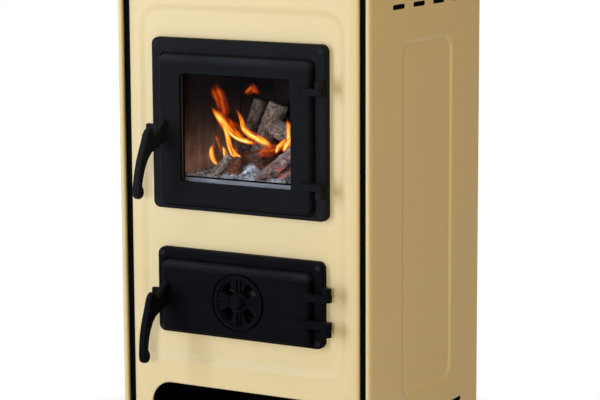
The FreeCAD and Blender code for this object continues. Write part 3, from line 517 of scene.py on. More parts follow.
def bright_steel(name, painted_shadow_from=None):
    """Zinc-bright steel with fine brushing along its length; above a level it may be painted black, a
    painted shadow of the gap behind its top.
    """
    made, tree, shader = material(name, Metallic=1.0)
    place = coordinates(tree)
    brush = noise(tree, scaled(tree, place, (30.0, 900.0, 900.0)), 1.0, 3.0)
    tone = ramp(tree, brush, [(0.3, (0.36, 0.35, 0.33)), (0.7, (0.58, 0.565, 0.545))])
    if painted_shadow_from is not None:
        # painted shadow: black from this height up, for the dark gap behind the rail's top
        soot = spread(tree, axes_of(tree, place)[2], 0.0, 1.0, painted_shadow_from, painted_shadow_from + 0.0006)
        tone = mix_colour(tree, soot, tone, (0.006, 0.006, 0.006, 1.0))
    connect(tree, shader, Base_Color=tone, Roughness=spread(tree, brush, 0.3, 0.5),
            Normal=bump(tree, brush, 0.1, 0.0002))
    return made


def black_screw():
    """Blackened screw heads and hinge pins, a little brighter in rubbed patches."""
    made, tree, shader = material("black_screw", Specular_IOR_Level=0.1)
    rub = noise(tree, coordinates(tree), 320.0, 3.0)
    tone = ramp(tree, rub, [(0.4, (0.0015, 0.0015, 0.002)), (0.75, (0.008, 0.008, 0.009))])
    connect(tree, shader, Base_Color=tone, Roughness=spread(tree, rub, 0.4, 0.6))
    return made


def rope_weave():
    """Braided glass rope: light and dark strands that cross along it, on its own map."""
    made, tree, shader = material("rope_weave", Specular_IOR_Level=0.1, Sheen_Weight=0.3)
    strand = coordinates(tree, "UV")
    waves = []
    for turn in (0.7, -0.7):
        turned = add(tree, "ShaderNodeMapping", {"Vector": strand, "Rotation": (0.0, 0.0, turn)}).outputs[0]
        waves.append(add(tree, "ShaderNodeTexWave", {"Vector": turned, "Scale": 3.0, "Distortion": 0.4},
                         wave_type="BANDS").outputs["Fac"])
    weave = math_node(tree, "MAXIMUM", *waves)
    tone = ramp(tree, weave, [(0.3, (0.03, 0.03, 0.029)), (0.9, (0.14, 0.137, 0.128))])
    connect(tree, shader, Base_Color=tone, Roughness=spread(tree, weave, 0.95, 0.8),
            Normal=bump(tree, weave, 0.6, 0.0006))
    return made


def burning_wood(name, tint, embers):
    """Charred wood: blocks of char split by cracks, pale ash flaking off, and embers in the low cracks."""
    made, tree, shader = material(name, Specular_IOR_Level=0.1, Emission_Strength=embers)
    lay = coordinates(tree, "UV")
    place = coordinates(tree)
    sway = add(tree, "ShaderNodeTexNoise", {"Vector": lay, "Scale": 0.9, "Detail": 3.0}).outputs["Color"]
    bent = add(tree, "ShaderNodeVectorMath", {0: scaled(tree, lay, (1.5, 0.55, 1.0)), 1: sway}).outputs[0]
    cracks = add(tree, "ShaderNodeTexVoronoi", {"Vector": bent, "Scale": 1.0},
                 feature="DISTANCE_TO_EDGE").outputs[0]
    fibres = noise(tree, scaled(tree, lay, (9.0, 0.8, 1.0)), 1.0, 6.0, 0.65)
    flakes = noise(tree, place, 70.0, 7.0, 0.72)
    # paler on faces that look up: settled ash and painted top light
    dust_and_top_light = place_group(tree, DUST_AND_TOP_LIGHT, Amount=0.9, Patch_scale=60.0).outputs["Mask"]
    pale = math_node(tree, "ADD", math_node(tree, "MULTIPLY", fibres, flakes),
                     math_node(tree, "MULTIPLY", dust_and_top_light, 0.2))
    tone = ramp(tree, pale, [(0.14, (0.05, 0.042, 0.038)), (0.24, (0.28, 0.225, 0.2)),
                             (0.36, (0.52, 0.45, 0.42)), (0.52, (0.72, 0.68, 0.66))])
    tone = mix_colour(tree, 1.0, tone, (*tint, 1.0), "MULTIPLY")
    # painted shade: the char is darkened towards the cracks
    depth = spread(tree, cracks, 0.4, 1.0, 0.01, 0.07)
    low = spread(tree, axes_of(tree, place)[2], 1.0, 0.0, 0.428, 0.45)
    spots = spread(tree, noise(tree, place, 30.0, 2.0), 0.0, 1.0, 0.5, 0.65)
    heat = product(tree, spread(tree, cracks, 1.0, 0.0, 0.03, 0.25), low, spots)
    glow = ramp(tree, heat, [(0.05, (0.0, 0.0, 0.0)), (0.5, (0.45, 0.025, 0.008)), (1.0, (0.9, 0.12, 0.04))])
    connect(tree, shader, Base_Color=shaded(tree, tone, depth), Emission_Color=glow,
            Roughness=spread(tree, flakes, 0.8, 1.0),
            Normal=bump(tree, math_node(tree, "ADD", fibres, depth), 0.9, 0.003))
    return made


def wood_ash():
    """Pale ash with a blue-grey cast, black crumbs between the flakes and a few embers."""
    made, tree, shader = material("wood_ash", Specular_IOR_Level=0.05, Emission_Strength=1.2)
    place = coordinates(tree)
    grain = add(tree, "ShaderNodeTexVoronoi", {"Vector": place, "Scale": 190.0}).outputs["Distance"]
    clumps = noise(tree, place, 60.0, 6.0, 0.75)
    tone = ramp(tree, clumps, [(0.38, (0.02, 0.02, 0.023)), (0.46, (0.42, 0.45, 0.5)),
                               (0.58, (0.85, 0.89, 0.96))])
    crumb = ramp(tree, grain, [(0.1, (1.0, 1.0, 1.0)), (0.7, (0.5, 0.5, 0.5))])
    sparks = spread(tree, noise(tree, place, 70.0, 2.0), 0.0, 1.0, 0.68, 0.76)
    connect(tree, shader, Base_Color=mix_colour(tree, 0.8, tone, crumb, "MULTIPLY"),
            Emission_Color=ramp(tree, sparks, [(0.0, (0.0, 0.0, 0.0)), (1.0, (0.8, 0.12, 0.02))]),
            Roughness=spread(tree, clumps, 0.9, 1.0), Normal=bump(tree, clumps, 0.8, 0.004))
    return made


def flame(name, gain):
    """Flame: streaks along the tongue, yellow where hottest, orange to red at the edges, fading out."""
    made, tree, shader = material(name, Specular_IOR_Level=0.0, Emission_Strength=1.35,
                                  Base_Color=(0.0, 0.0, 0.0, 1.0))
    across, along = axes_of(tree, coordinates(tree, "UV"))[:2]
    where = axes_of(tree, scaled(tree, coordinates(tree), (25.0, 25.0, 25.0)))[0]
    centred = math_node(tree, "SUBTRACT", math_node(tree, "MULTIPLY", across, 2.0), 1.0)
    off = math_node(tree, "ABSOLUTE", centred)
    body = math_node(tree, "POWER", math_node(tree, "SUBTRACT", 1.0, off), 0.9)
    grid = add(tree, "ShaderNodeCombineXYZ", {0: math_node(tree, "MULTIPLY", across, 5.0),
                                              1: math_node(tree, "MULTIPLY", along, 2.2),
                                              2: where}).outputs[0]
    streaks = noise(tree, grid, 1.0, 3.0, 0.6)
    ends = product(tree, spread(tree, along, 0.0, 1.0, 0.0, 0.16), spread(tree, along, 1.0, 0.0, 0.7, 1.0))
    heat = product(tree, body, spread(tree, streaks, 0.3, 1.6, 0.3, 0.7), ends, gain)
    connect(tree, shader,
            Emission_Color=ramp(tree, heat, [(0.04, (0.25, 0.01, 0.0)), (0.22, (0.78, 0.08, 0.003)),
                                             (0.48, (1.0, 0.27, 0.01)), (0.78, (1.0, 0.5, 0.045)),
                                             (1.0, (1.0, 0.72, 0.2))]),
            Alpha=spread(tree, heat, 0.0, 0.92, 0.03, 0.55), Roughness=spread(tree, streaks, 0.9, 1.0))
    return made


ENAMEL = cream_enamel()
CASTING = cast_black("stove_black_casting", (0.0088, 0.0092, 0.01), (0.022, 0.024, 0.028))
DARK_CASTING = cast_black("ash_door_casting", (0.0012, 0.0015, 0.002), (0.02, 0.022, 0.026))
# the door leaves carry a painted highlight along their top edges
FIRE_LEAF_CASTING = cast_black("fire_leaf_casting", (0.0056, 0.006, 0.0066), (0.026, 0.028, 0.032),
                               top_edge=FIRE_LEAF[1][1] * MM)
ASH_LEAF_CASTING = cast_black("ash_leaf_casting", (0.0012, 0.0015, 0.002), (0.02, 0.022, 0.026),
                              top_edge=ASH_LEAF[1][1] * MM)
TOP_CASTING = cast_black("top_casting", (0.012, 0.012, 0.0125), (0.03, 0.029, 0.028), 700.0, 0.45)
SHEET = sheet_black("sheet_black", 0.0008, 0.002)
# a paler copy of the same black paint for the back, base and feet: painted light, so the unlit back still
# shows its shape
PALER_BACK_SHEET = sheet_black("back_sheet_painted_paler", 0.011, 0.016)
STEEL_INSIDE = sooty_steel()
BRICK = fire_brick()
GLASS = stove_glass()
BRIGHT = bright_steel("bright_steel")
# the rail is painted black along its top as a painted shadow
RAIL = bright_steel("rail_steel", 0.4285)
SCREW = black_screw()
ROPE = rope_weave()
ASHEN_WOOD = burning_wood("ashen_wood", (1.0, 0.95, 0.92), 0.0)
SMOKY_WOOD = burning_wood("smoky_wood", (0.52, 0.5, 0.49), 0.0)
EMBER_WOOD = burning_wood("ember_wood", (0.62, 0.49, 0.47), 1.6)
CHARRED_WOOD = burning_wood("charred_wood", (0.34, 0.21, 0.15), 0.2)
ASH = wood_ash()
FLAME = flame("flame", 1.0)
DIM_FLAME = flame("dim_flame", 0.3)

FINISHES = {
    ENAMEL: ["front_panel", "left_side_panel", "right_side_panel"],
    CASTING: ["firebox_door_frame", "firebox_handle", "flue_collar"],
    FIRE_LEAF_CASTING: ["firebox_door_leaf"],
    ASH_LEAF_CASTING: ["ash_door_leaf"],
    DARK_CASTING: ["ash_door_frame", "ash_handle", "air_rosette", "rosette_spindle", "grate"],
    TOP_CASTING: ["top_plate", "hob_ring", "hob_lid"],
    SHEET: ["left_corner_channel", "right_corner_channel", "niche_left_wall", "niche_right_wall",
            "niche_roof", "inner_front_plate"],
    PALER_BACK_SHEET: ["back_panel", "base_plate", "feet"],
    STEEL_INSIDE: ["firebox_left_wall", "firebox_right_wall", "firebox_back_wall", "firebox_floor",
                   "ash_chamber_left_wall", "ash_chamber_right_wall", "ash_chamber_back_wall",
                   "ash_floor", "ash_pan"],
    BRICK: ["firebrick_left", "firebrick_right", "firebrick_back", "baffle_plate"],
    GLASS: ["window_glass"],
    ROPE: ["firebox_door_rope", "ash_door_rope", "glass_gasket"],
    BRIGHT: ["glass_clips", "back_panel_screws", "flue_bolts", "firebox_handle_ring", "ash_handle_ring"],
    RAIL: ["glass_rail"],
    SCREW: ["firebox_frame_screws", "ash_frame_screws", "firebox_hinge_pins", "ash_hinge_pins"],
}
for finish, names in FINISHES.items():
    for name in names:
        node = frame["nodes"][name]
        node.data.materials.clear()
        node.data.materials.append(finish)


# Enamelled sheets

def thicken(sheet, wall):
    """Give a sheet its thickness behind its outer face."""
    solid = sheet.modifiers.new("wall", "SOLIDIFY")
    solid.thickness = wall * MM
    solid.offset = -1


def front_sheet():
    """The front as one sheet: a section across it, carried up.

    The section is flat, then a quarter ellipse, then a short return. The field is pressed in by its depth
    times a soft step of the distance to a rounded rectangle. The doors' holes and the niche are punched out.
    """
    bend_wide, bend_deep = 13, 6
    bend = arc((FRONT_EDGE - bend_wide, FRONT + bend_deep), (bend_wide, bend_deep), -90, 0, 13)
    half = np.concatenate([[[0.0, FRONT]], bend, [[FRONT_EDGE, FRONT + 8]]])
    place = distance_along(half)
    section = np.concatenate([half[:0:-1] * [-1, 1], half])
    across = np.concatenate([-place[:0:-1], place])
    bends = place[1:]
    u = np.unique(np.concatenate([lines(-place[1], place[1], 3.0), bends, -bends]))
    v = lines(BOTTOM, TOP, 3.0)
    u, v, faces = punched(*np.meshgrid(u, v), [FIRE_HOLE, ASH_HOLE, NICHE_HOLE])
    x = np.interp(u, across, section[:, 0])
    y = np.interp(u, across, section[:, 1])
    y = y + FIELD_DEPTH * soft_step(0.5 - rounded_box(x, v, *FRONT_FIELD) / 11.0)
    points = np.stack([x, y, v], 1)
    sheet = piece("front_sheet", points, faces, ENAMEL, "stove", ["front_panel"])
    thicken(sheet, FRONT_WALL)


def side_sheet(name, sign, node):
    """A side as one sheet: a section along its depth with a rolled hem at each end, carried up.

    The field is pressed in by its depth times a soft step of the distance to a rounded rectangle. Two rows
    of vents are punched out. The grid is finer round the vents and the edges of the field.
    """
    hem = np.concatenate([[[FRONT + 8, SIDE - 8]], arc((FRONT + 3.5, SIDE - 4.5), 3.5, 270, 180, 9),
                          arc((FRONT + 8, SIDE - 4), (8, 4), 180, 90, 13)])
    section = np.concatenate([hem, (hem * [-1, 1] + [FRONT + BACK, 0])[::-1]])
    place = distance_along(section)
    place = place - place[len(hem) - 1] + FRONT + 8
    middle = (FRONT + BACK) / 2
    columns = [middle + 4 + VENT_PITCH * step for step in (-1.5, -0.5, 0.5, 1.5)]
    vent_ends = [column + end * VENT_HALF_LENGTH for column in columns for end in (-1, 1)]
    field_sides = (middle - SIDE_FIELD_HALF, middle + SIDE_FIELD_HALF)
    across = ([(end - 4, end + 4, 0.8) for end in vent_ends]
              + [(edge - 5, edge + 5, 1.0) for edge in field_sides])
    upward = ([(row - 6, row + 6, 0.75) for row in VENT_ROWS]
              + [(edge - 5, edge + 5, 1.0) for edge in SIDE_FIELD_HEIGHTS])
    flat = lines(FRONT + 8, BACK - 8, 4.0, across)
    u = np.unique(np.concatenate([place[:len(hem)], flat, place[len(hem):]]))
    v = lines(BOTTOM, TOP, 4.0, upward)
    holes = [(((column - VENT_HALF_LENGTH, column + VENT_HALF_LENGTH),
               (row - VENT_HALF_HEIGHT, row + VENT_HALF_HEIGHT)), VENT_CORNER)
             for column in columns for row in VENT_ROWS]
    u, v, faces = punched(*np.meshgrid(u, v), holes)
    y = np.interp(u, place, section[:, 0])
    x = np.interp(u, place, section[:, 1])
    field = rounded_box(y, v, (field_sides, SIDE_FIELD_HEIGHTS), SIDE_FIELD_CORNER)
    x = x - FIELD_DEPTH * soft_step(0.5 - field / 5.0)
    faces = faces if sign > 0 else faces[:, ::-1]
    points = np.stack([x * sign, y, v], 1)
    sheet = piece(name, points, faces, ENAMEL, "stove", [node])
    thicken(sheet, SIDE_WALL)


front_sheet()
side_sheet("right_side_sheet", 1, "right_side_panel")
side_sheet("left_side_sheet", -1, "left_side_panel")


# Levers

# Edge curves of a lever seen from its side: outer y, z, inner y, z, and half its width there
LEVER = [
    (-154.8, 0.0, -154.8, 0.0, 0.0), (-154.8, 15.0, -154.8, -17.5, 5.8),
    (-160.0, 11.5, -160.0, -20.0, 6.0), (-166.0, 7.0, -167.0, -22.0, 6.0),
    (-172.0, 2.5, -174.0, -24.5, 6.0), (-178.0, -2.0, -180.0, -27.0, 6.0),
    (-182.0, -5.0, -183.0, -28.5, 5.7), (-184.0, -4.0, -184.5, -29.3, 5.4),
    (-185.5, 1.0, -186.0, -30.2, 5.2), (-188.5, 5.2, -187.5, -31.3, 5.2),
    (-193.0, 5.6, -189.0, -32.8, 5.2), (-197.5, 3.2, -191.0, -34.5, 5.2),
    (-200.5, -1.5, -193.0, -36.5, 5.2), (-203.0, -8.0, -195.5, -39.5, 5.2),
    (-206.5, -17.0, -198.5, -44.0, 5.2), (-210.5, -27.0, -201.5, -49.5, 5.2),
    (-214.5, -38.0, -204.0, -55.5, 5.2), (-217.5, -50.0, -206.0, -62.5, 5.2),
    (-219.3, -62.0, -207.6, -69.5, 5.3), (-219.8, -70.0, -208.3, -74.0, 5.4),
    (-219.9, -76.0, -206.5, -77.0, 5.8), (-219.8, -81.0, -204.6, -80.5, 6.2),
    (-219.3, -86.0, -204.6, -85.0, 6.2), (-217.5, -90.0, -206.2, -89.0, 5.6),
    (-214.5, -92.0, -208.5, -91.3, 4.0), (-212.5, -92.5, -211.0, -92.3, 0.2),
]


def lever(name, node, body, pivot, tilt, tail_end, finish):
    """A cast lever: sections between an outer and an inner edge curve, each a squared circle.

    The middle of a section is the middle of its two edge points. The cosine spans from edge to edge, and the
    sine spans the width. A latch tail and a shaft are bars, and all is tilted about the shaft.
    """
    outer_y, outer_z, inner_y, inner_z, width = (column[:, None] for column in resampled(LEVER, 151, 3).T)
    cosine, sine = squared_circle(36, 0.45)
    y = (outer_y + inner_y) / 2 + (outer_y - inner_y) / 2 * cosine
    z = (outer_z + inner_z) / 2 + (outer_z - inner_z) / 2 * cosine
    grip = np.stack([width * sine, y, z], -1).reshape(-1, 3)
    tail_y = -160.5
    tail = bar((tail_end, tail_y, 0), (2, tail_y, 0), (0, 4, 0), (0, 0, 6))
    shaft = bar((0, -156, 0), (0, -139.9, 0), (4, 0, 0), (0, 0, 4), 1.0)
    points, faces = joined([(grip, outward(grip, quads(*y.shape, False, True))), tail, shaft])
    turn = math.radians(tilt)
    x = points[:, 0] * math.cos(turn) + points[:, 2] * math.sin(turn) + pivot[0]
    z = points[:, 2] * math.cos(turn) - points[:, 0] * math.sin(turn) + pivot[1]
    piece(name, np.stack([x, points[:, 1], z], 1), faces, finish, body, [node])


lever("firebox_lever", "firebox_handle", "firebox_handle", (-115.0, 497.0), 3.5, -22.5, CASTING)
lever("ash_lever", "ash_handle", "ash_handle", (-114.0, 264.0), 0.0, -17.5, DARK_CASTING)


# Seals

def seal(name, limits, middle, section, body, node):
    """A seal carried round a rectangle with round corners.

    The section is a function of the distance along and the angle round the seal. It gives how far each point
    lies outwards and how far back from the middle line.
    """
    corner, steps, sides = 6.0, 520, 18
    strands, strand_length = 4, 4.0
    path, outwards, place = rounded_path(limits, corner, steps)
    angle = np.linspace(0, 2 * math.pi, sides, endpoint=False)
    out, back = section(place[:, None], angle[None, :])
    x = path[:, None, 0] + outwards[:, None, 0] * out
    z = path[:, None, 1] + outwards[:, None, 1] * out
    y = middle + back
    points = np.stack([x, np.broadcast_to(y, x.shape), z], -1).reshape(-1, 3)
    uv = map_places(angle / (2 * math.pi) * strands, place[:, None] / strand_length, x.shape)
    piece(name, points, outward(points, quads(*x.shape, True, True)), ROPE, body, [node], uv)


def rope_section(place, angle):
    """A round rope of three lays: its radius swells three times round it, and the swell turns along it."""
    radius = 1.85 + 0.14 * np.cos(3 * angle + place * 0.9)
    return radius * np.cos(angle), radius * np.sin(angle)


def tape_section(place, angle):
    """A flat woven tape: a squared ellipse, with a ripple along it."""
    half_width = 2.35
    half_thickness = 0.9 + 0.08 * np.sin(place * 2.1)
    return half_width * squared(np.cos(angle), 0.5), half_thickness * squared(np.sin(angle), 0.5)


ROPE_INSET = 16
ROPE_DEPTH = LEAF_BACK - 2.0
TAPE_DEPTH = LEAF_BACK - 7.0
seal("firebox_seal", grown(FIRE_LEAF, -ROPE_INSET), ROPE_DEPTH, rope_section, "firebox_door",
     "firebox_door_rope")
seal("ash_seal", grown(ASH_LEAF, -ROPE_INSET), ROPE_DEPTH, rope_section, "ash_door", "ash_door_rope")
seal("glass_tape", grown(WINDOW, 2.5), TAPE_DEPTH, tape_section, "firebox_door", "glass_gasket")


# Fire behind the glass

# Limits of the bed of ash in millimetres, the number of flakes on it, and the points along a flake's side
ASH_HALF_WIDTH = 117.5
ASH_FRONT = -116
ASH_REAR = 168.5
FLAKE_COUNT = 900
FLAKE_SIDE = 4


def tongue(rows):
    """A flame tongue: a smooth path of (x, y, z) with a half width at each point.

    The place across runs from -1 to 1, and the tongue is bowed back by its square. It is made a quarter
    wider than given, because its edges fade.
    """
    count, widened, bow = 60, 1.25, 3.0
    path = resampled(rows, count, 8)
    heading = np.gradient(path[:, [0, 2]], axis=0)
    heading /= np.linalg.norm(heading, axis=1)[:, None]
    along = np.linspace(0, 1, count)[:, None]
    across = np.linspace(-1, 1, 11)[None, :]
    reach = widened * path[:, 3:] * across
    x = path[:, 0:1] - heading[:, 1:] * reach
    z = path[:, 2:3] + heading[:, :1] * reach
    y = path[:, 1:2] + bow * across ** 2
    points = np.stack([x, y, z], -1).reshape(-1, 3)
    return points, quads(*x.shape), map_places((across + 1) / 2, along, x.shape)


def several(name, finish, made):
    """Several tongues or logs as one piece."""
    points, faces = joined([(points, faces) for points, faces, uv in made])
    uv = np.concatenate([uv for points, faces, uv in made])
    piece(name, points, faces, finish, "stove", uv=uv)


# Each tongue as points x, y, z and half width, from its root to its tip
BRIGHT_TONGUES = [
    [(-51, -62, 428, 1), (-52, -62, 439, 3), (-57, -62, 450, 3.5), (-63, -61, 461, 4), (-66, -60, 471, 4.5),
     (-69, -59, 482, 4.5), (-75, -58, 494, 4), (-81, -57, 503, 2)],
    [(-16, -60, 469, 2.5), (-34, -58, 471, 3.5), (-52, -57, 475, 4), (-65, -56, 483, 5.5),
     (-76, -55, 494, 6.5), (-86, -54, 504, 5), (-94, -53, 512, 3), (-99, -52, 518, 1)],
    [(9, -62, 465, 3), (-1, -61, 472, 5), (-16, -60, 477, 6), (-31, -59, 482, 5.5), (-42, -58, 490, 4.5),
     (-44, -57, 499, 4), (-48, -56, 508, 3), (-57, -55, 519, 1)],
    [(16, -66, 459, 2), (20, -66, 468, 4), (28, -66, 476, 3.5), (36, -66, 483, 1)],
    [(28, -66, 462, 4), (35, -66, 473, 5), (40, -66, 480, 4), (43, -66, 488, 1)],
    [(37, -64, 468, 4), (37, -64, 485, 5), (36, -64, 498, 4), (34, -64, 509, 1)],
    [(-79, -64, 435, 1.5), (-89, -63, 441, 3.5), (-94, -62, 450, 4.5), (-94, -61, 458, 3),
     (-88, -60, 466, 1)],
    [(-70, -62, 445, 2), (-72, -61, 456, 3), (-75, -60, 463, 1)],
    [(-43, -63, 438, 1), (-51, -62, 446, 2), (-58, -61, 458, 2)],
    [(-41, -63, 448, 1), (-52, -62, 453, 2), (-61, -61, 464, 2)],
]
DIM_TONGUES = [
    [(-79, -40, 500, 5), (-84, -40, 517, 8), (-89, -40, 530, 8), (-96, -40, 541, 7), (-101, -40, 553, 3)],
    [(-88, -44, 511, 3), (-93, -44, 527, 5), (-100, -44, 536, 5), (-103, -44, 549, 2)],
    [(-80, 10, 530, 2), (-72, 10, 535, 6), (-66, 10, 540, 7), (-61, 10, 536, 6), (-50, 10, 530, 2)],
    [(-78, -58, 451, 2), (-82, -57, 463, 3), (-88, -56, 473, 3), (-91, -55, 480, 1)],
    [(-60, -52, 478, 5), (-72, -51, 492, 8), (-84, -50, 505, 8), (-96, -49, 519, 3)],
    [(-44, -54, 474, 6), (-54, -53, 484, 8), (-64, -52, 494, 7), (-72, -51, 506, 3)],
    [(-14, -68, 454, 6), (0, -67, 461, 9), (14, -66, 466, 9), (28, -66, 470, 6)],
    [(-46, -60, 436, 3), (-52, -59, 448, 6), (-60, -58, 460, 6), (-66, -57, 474, 3)],
]


def log(start, end, wide, deep, turn, seed):
    """A charred split log: a squared circle carried along a line, turned about it, drawn in at both ends.

    Its size is 1 less a bell-shaped dip at each crack across it and at each split along it, with slow waves
    along its length and round it.
    """
    start, end = np.asarray(start, float), np.asarray(end, float)
    length = np.linalg.norm(end - start)
    axis = (end - start) / length
    side_way = np.cross(axis, [0.0, 1.0, 0.0])
    side_way /= np.linalg.norm(side_way)
    other = np.cross(axis, side_way)
    side_way, other = (side_way * math.cos(turn) + other * math.sin(turn),
                       other * math.cos(turn) - side_way * math.sin(turn))
    rings, corners, crack_gap = 90, 64, 15
    along = np.concatenate([[0, 0, 0.006], np.linspace(0.02, 0.98, rings), [0.994, 1, 1]])[:, None]
    close = np.concatenate([[0.0, 0.9, 0.97], np.ones(rings), [0.97, 0.9, 0.0]])[:, None]
    angle = np.linspace(0, 2 * math.pi, corners, endpoint=False)[None, :]
    cosine, sine = squared_circle(corners, 0.5)
    cracks = np.sin(math.pi * (length / crack_gap * along + 0.3 * np.sin(2 * angle + seed) + seed))
    splits = np.sin(2.5 * angle + seed + 0.4 * np.sin(5 * along + seed))
    size = (1 - 0.09 * np.exp(-(cracks / 0.16) ** 2) - 0.1 * np.exp(-(splits / 0.14) ** 2)
            + 0.035 * np.sin(7 * along + 3 * angle + seed) + 0.015 * np.sin(19 * along - 5 * angle))
    reach = size * close
    points = (start + axis * (along * length)[..., None] + side_way * (wide * reach * cosine)[..., None]
              + other * (deep * reach * sine)[..., None]).reshape(-1, 3)
    uv = map_places(angle / (2 * math.pi) * (wide + deep) * 0.4, along * length * 0.1, reach.shape)
    return points, outward(points, quads(*reach.shape, False, True)), uv


def ash_height(x, y):
    """Height of the ash: slow and quick waves, a mound towards the front, and lower front and back edges."""
    height = (21.5 + 2.0 * np.sin(x * 0.061 + 1.1) * np.cos(y * 0.052) + 1.6 * np.sin(x * 0.17 + y * 0.11)
              + 1.2 * np.sin(x * 0.41 - y * 0.37 + 2) + 0.8 * np.cos(x * 0.93 + y * 0.71)
              + 0.5 * np.sin(x * 1.7 - y * 1.3) + 14 * np.exp(-((x + 28) ** 2 / 300 + (y + 58) ** 2 / 200)))
    rim = 0.4 + 0.6 * soft_step((y - ASH_FRONT) / 12) * soft_step((160 - y) / 30)
    return ASH_LEVEL + np.maximum(height, 0.5) * rim


def scattered(step):
    """A number from 0 to 1 for each flake, in no order: fractions of the multiples of a step."""
    return np.mod(np.arange(FLAKE_COUNT) * step, 1.0)


def ash_bed():
    """The bed of ash over the firebox floor, and curled flakes that lie on it.

    A flake is a small oblong with places a and b along its sides. It is lifted by lean times a, plus 0.1 a
    squared, less 0.07 b squared, plus 0.08 a b. No point of it goes under the ash's level at its middle.
    """
    x, y = np.meshgrid(np.linspace(-ASH_HALF_WIDTH, ASH_HALF_WIDTH, 150),
                       np.linspace(ASH_FRONT, ASH_REAR, 170))
    bed = np.stack([x, y, ash_height(x, y)], -1).reshape(-1, 3)
    middle_x = -104 + 208 * scattered(0.6180340)
    middle_y = -104 + 150 * scattered(0.7548777)
    half = 1.2 + 2.6 * scattered(0.5698403) ** 2
    lean = 0.9 * scattered(0.4142136) - 0.3
    level = ash_height(middle_x, middle_y)
    number = np.arange(FLAKE_COUNT)
    spin = number * 2.4
    clear = 0.8
    middle_x, middle_y, half, lean, level, spin = (
        column[:, None, None] for column in (middle_x, middle_y, half, lean, level, spin))
    grid = np.linspace(-1, 1, FLAKE_SIDE)
    a, b = (part[None] for part in np.meshgrid(grid, grid))
    a, b = a * half, b * (half * 0.7)
    flake_x = middle_x + a * np.cos(spin) - b * np.sin(spin)
    flake_y = middle_y + a * np.sin(spin) + b * np.cos(spin)
    lift = lean * a + 0.1 * a ** 2 - 0.07 * b ** 2 + 0.08 * a * b
    flake_z = level + clear + np.maximum(lift, -clear)
    flakes = np.stack([flake_x, flake_y, flake_z], -1).reshape(-1, 3)
    faces = quads(FLAKE_SIDE, FLAKE_SIDE)[None] + number[:, None, None] * FLAKE_SIDE ** 2
    points, faces = joined([(bed, quads(*x.shape)), (flakes, faces.reshape(-1, 4))])
    piece("ash_bed", points, faces, ASH, "stove")


several("flames", FLAME, [tongue(rows) for rows in BRIGHT_TONGUES])
several("dim_flames", DIM_FLAME, [tongue(rows) for rows in DIM_TONGUES])
several("ashen_logs", ASHEN_WOOD, [
    log((-72, 29, 422), (-41, 44, 514), 13.5, 13, 0.1, 1.7),
    log((-30, 12, 484), (72, -20, 450), 12, 11, 0.3, 3.3),
    log((-89, -82, 412), (-52, -76, 452), 6, 6, 0.4, 5.3),
])
several("smoky_logs", SMOKY_WOOD, [log((-101, 33, 422), (-73, 46, 518), 8.5, 11, 0.15, 0.4)])
several("ember_logs", EMBER_WOOD, [
    log((-8, -82, 416), (54, -76, 466), 8.5, 8, 0.5, 2.6),
    log((14, -62, 414), (74, -84, 444), 8, 8, 0.9, 4.1),
])
several("charred_logs", CHARRED_WOOD, [
    log((-64, -34, 432), (-8, -44, 446), 15, 14, 0.3, 2.2),
    log((-46, -70, 408), (-48, -72, 449), 10, 9, 0.7, 0.9),
])
ash_bed()


# Stage, light and camera

def seen_by_eye(tree):
    """1 for rays from the camera, or by way of gloss or glass."""
    rays = add(tree, "ShaderNodeLightPath").outputs
    return math_node(tree, "MAXIMUM", rays["Is Camera Ray"], math_node(
        tree, "MAXIMUM", rays["Is Glossy Ray"], rays["Is Transmission Ray"]))


def floor():
    """A pale floor that takes the shadow near the stove and is the white of the background further out."""
    shadow_from, shadow_to = 0.26, 0.46
    corners, radius, drop = 96, 14, 0.0005
    made, tree, shader = material("pale_floor", Roughness=0.9, Specular_IOR_Level=0.1,
                                  Base_Color=(0.8, 0.8, 0.8, 1.0))
    far = add(tree, "ShaderNodeVectorMath", {0: coordinates(tree)}, operation="LENGTH").outputs["Value"]
    clear = spread(tree, far, 0.0, 1.0, shadow_from, shadow_to)
    white = add(tree, "ShaderNodeEmission", {"Color": (1.0, 1.0, 1.0, 1.0), "Strength": 1.0}).outputs[0]
    both = add(tree, "ShaderNodeMixShader", {0: math_node(tree, "MULTIPLY", clear, seen_by_eye(tree)),
                                             1: shader.outputs[0], 2: white}).outputs[0]
    tree.links.new(both, tree.nodes["Material Output"].inputs["Surface"])
    mesh = bpy.data.meshes.new("floor")
    angle = np.linspace(0, 2 * math.pi, corners, endpoint=False)
    ring = np.stack([radius * np.cos(angle), radius * np.sin(angle), np.full(corners, -drop)], 1)
    mesh.from_pydata(ring.tolist(), [], [list(range(corners))])
    mesh.materials.append(made)
    thing = bpy.data.objects.new("floor", mesh)
    scene.collection.objects.link(thing)


def world():
    """A plain pale surround: white where the camera, gloss or glass sees it, softer and warmer as light."""
    made = bpy.data.worlds.new("surround")
    made.use_nodes = True
    scene.world = made
    tree = made.node_tree
    colour = mix_colour(tree, seen_by_eye(tree), (0.15, 0.095, 0.02, 1.0), (1.0, 1.0, 1.0, 1.0))
    tree.links.new(colour, tree.nodes["Background"].inputs["Color"])


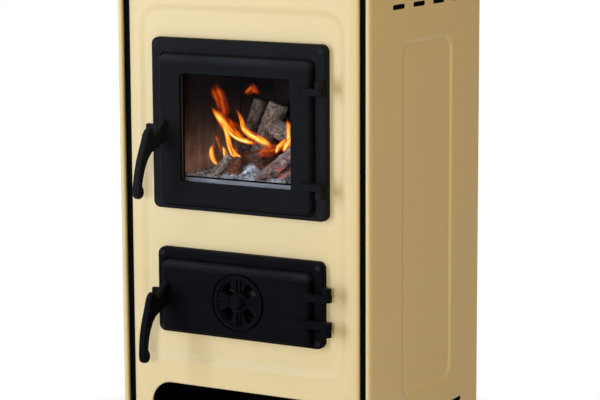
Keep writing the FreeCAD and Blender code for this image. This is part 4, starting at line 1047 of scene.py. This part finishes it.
def softbox(name, place, aim, size, power, colour=(1.0, 1.0, 1.0)):
    """An area lamp at a place, turned to face a point."""
    lamp = bpy.data.lights.new(name, "AREA")
    lamp.shape = "RECTANGLE"
    lamp.size, lamp.size_y = size
    lamp.energy = power
    lamp.color = colour
    thing = bpy.data.objects.new(name, lamp)
    thing.location = place
    thing.rotation_euler = (Vector(aim) - Vector(place)).to_track_quat("-Z", "Y").to_euler()
    scene.collection.objects.link(thing)


def camera():
    """The photograph's viewpoint: its place, lens, turn to the left, pitch down and a slight roll."""
    place = (1.5845, -2.7859, 0.9214)
    yaw, pitch, roll = (math.radians(angle) for angle in (29.3385, 9.568, -0.291))
    ahead = Vector((-math.sin(yaw) * math.cos(pitch), math.cos(yaw) * math.cos(pitch), -math.sin(pitch)))
    right = Vector((math.cos(yaw), math.sin(yaw), 0.0))
    up = right.cross(ahead)
    right, up = (math.cos(roll) * right + math.sin(roll) * up, math.cos(roll) * up - math.sin(roll) * right)
    lens = bpy.data.cameras.new("camera")
    lens.lens = 134.7
    lens.sensor_width = 36.0
    thing = bpy.data.objects.new("camera", lens)
    axes = Matrix((right, up, -ahead)).transposed().to_4x4()
    thing.matrix_world = Matrix.Translation(place) @ axes
    scene.collection.objects.link(thing)
    scene.camera = thing


floor()
world()
softbox("left_softbox", (-0.8, -1.5, 0.75), (-0.05, -0.13, 0.45), (0.6, 1.4), 20.5, (0.59, 0.715, 1.0))
softbox("key_softbox", (1.18, -3.1, 0.88), (0.0, -0.13, 0.4), (0.22, 0.22), 36.0, (0.84, 0.91, 1.0))
softbox("edge_softbox", (1.25, -2.75, 0.4), (0.18, -0.13, 0.6), (0.45, 0.22), 4.5, (1.0, 0.85, 0.6))
softbox("right_softbox", (1.4, -0.5, 1.9), (0.2, 0.0, 0.5), (0.5, 0.5), 6.0, (1.0, 0.7, 0.16))
softbox("top_softbox", (0.2, -0.4, 2.8), (0.0, 0.0, 0.5), (1.8, 1.8), 12.0, (1.0, 0.84, 0.55))
softbox("rear_softbox", (0.0, 3.2, 1.9), (0.0, 0.2, 0.4), (0.4, 1.2), 26.0)
softbox("fill_softbox", (-2.4, 0.5, 1.0), (-0.2, 0.04, 0.4), (1.0, 1.2), 11.0)
camera()
scene.view_settings.view_transform = "Standard"
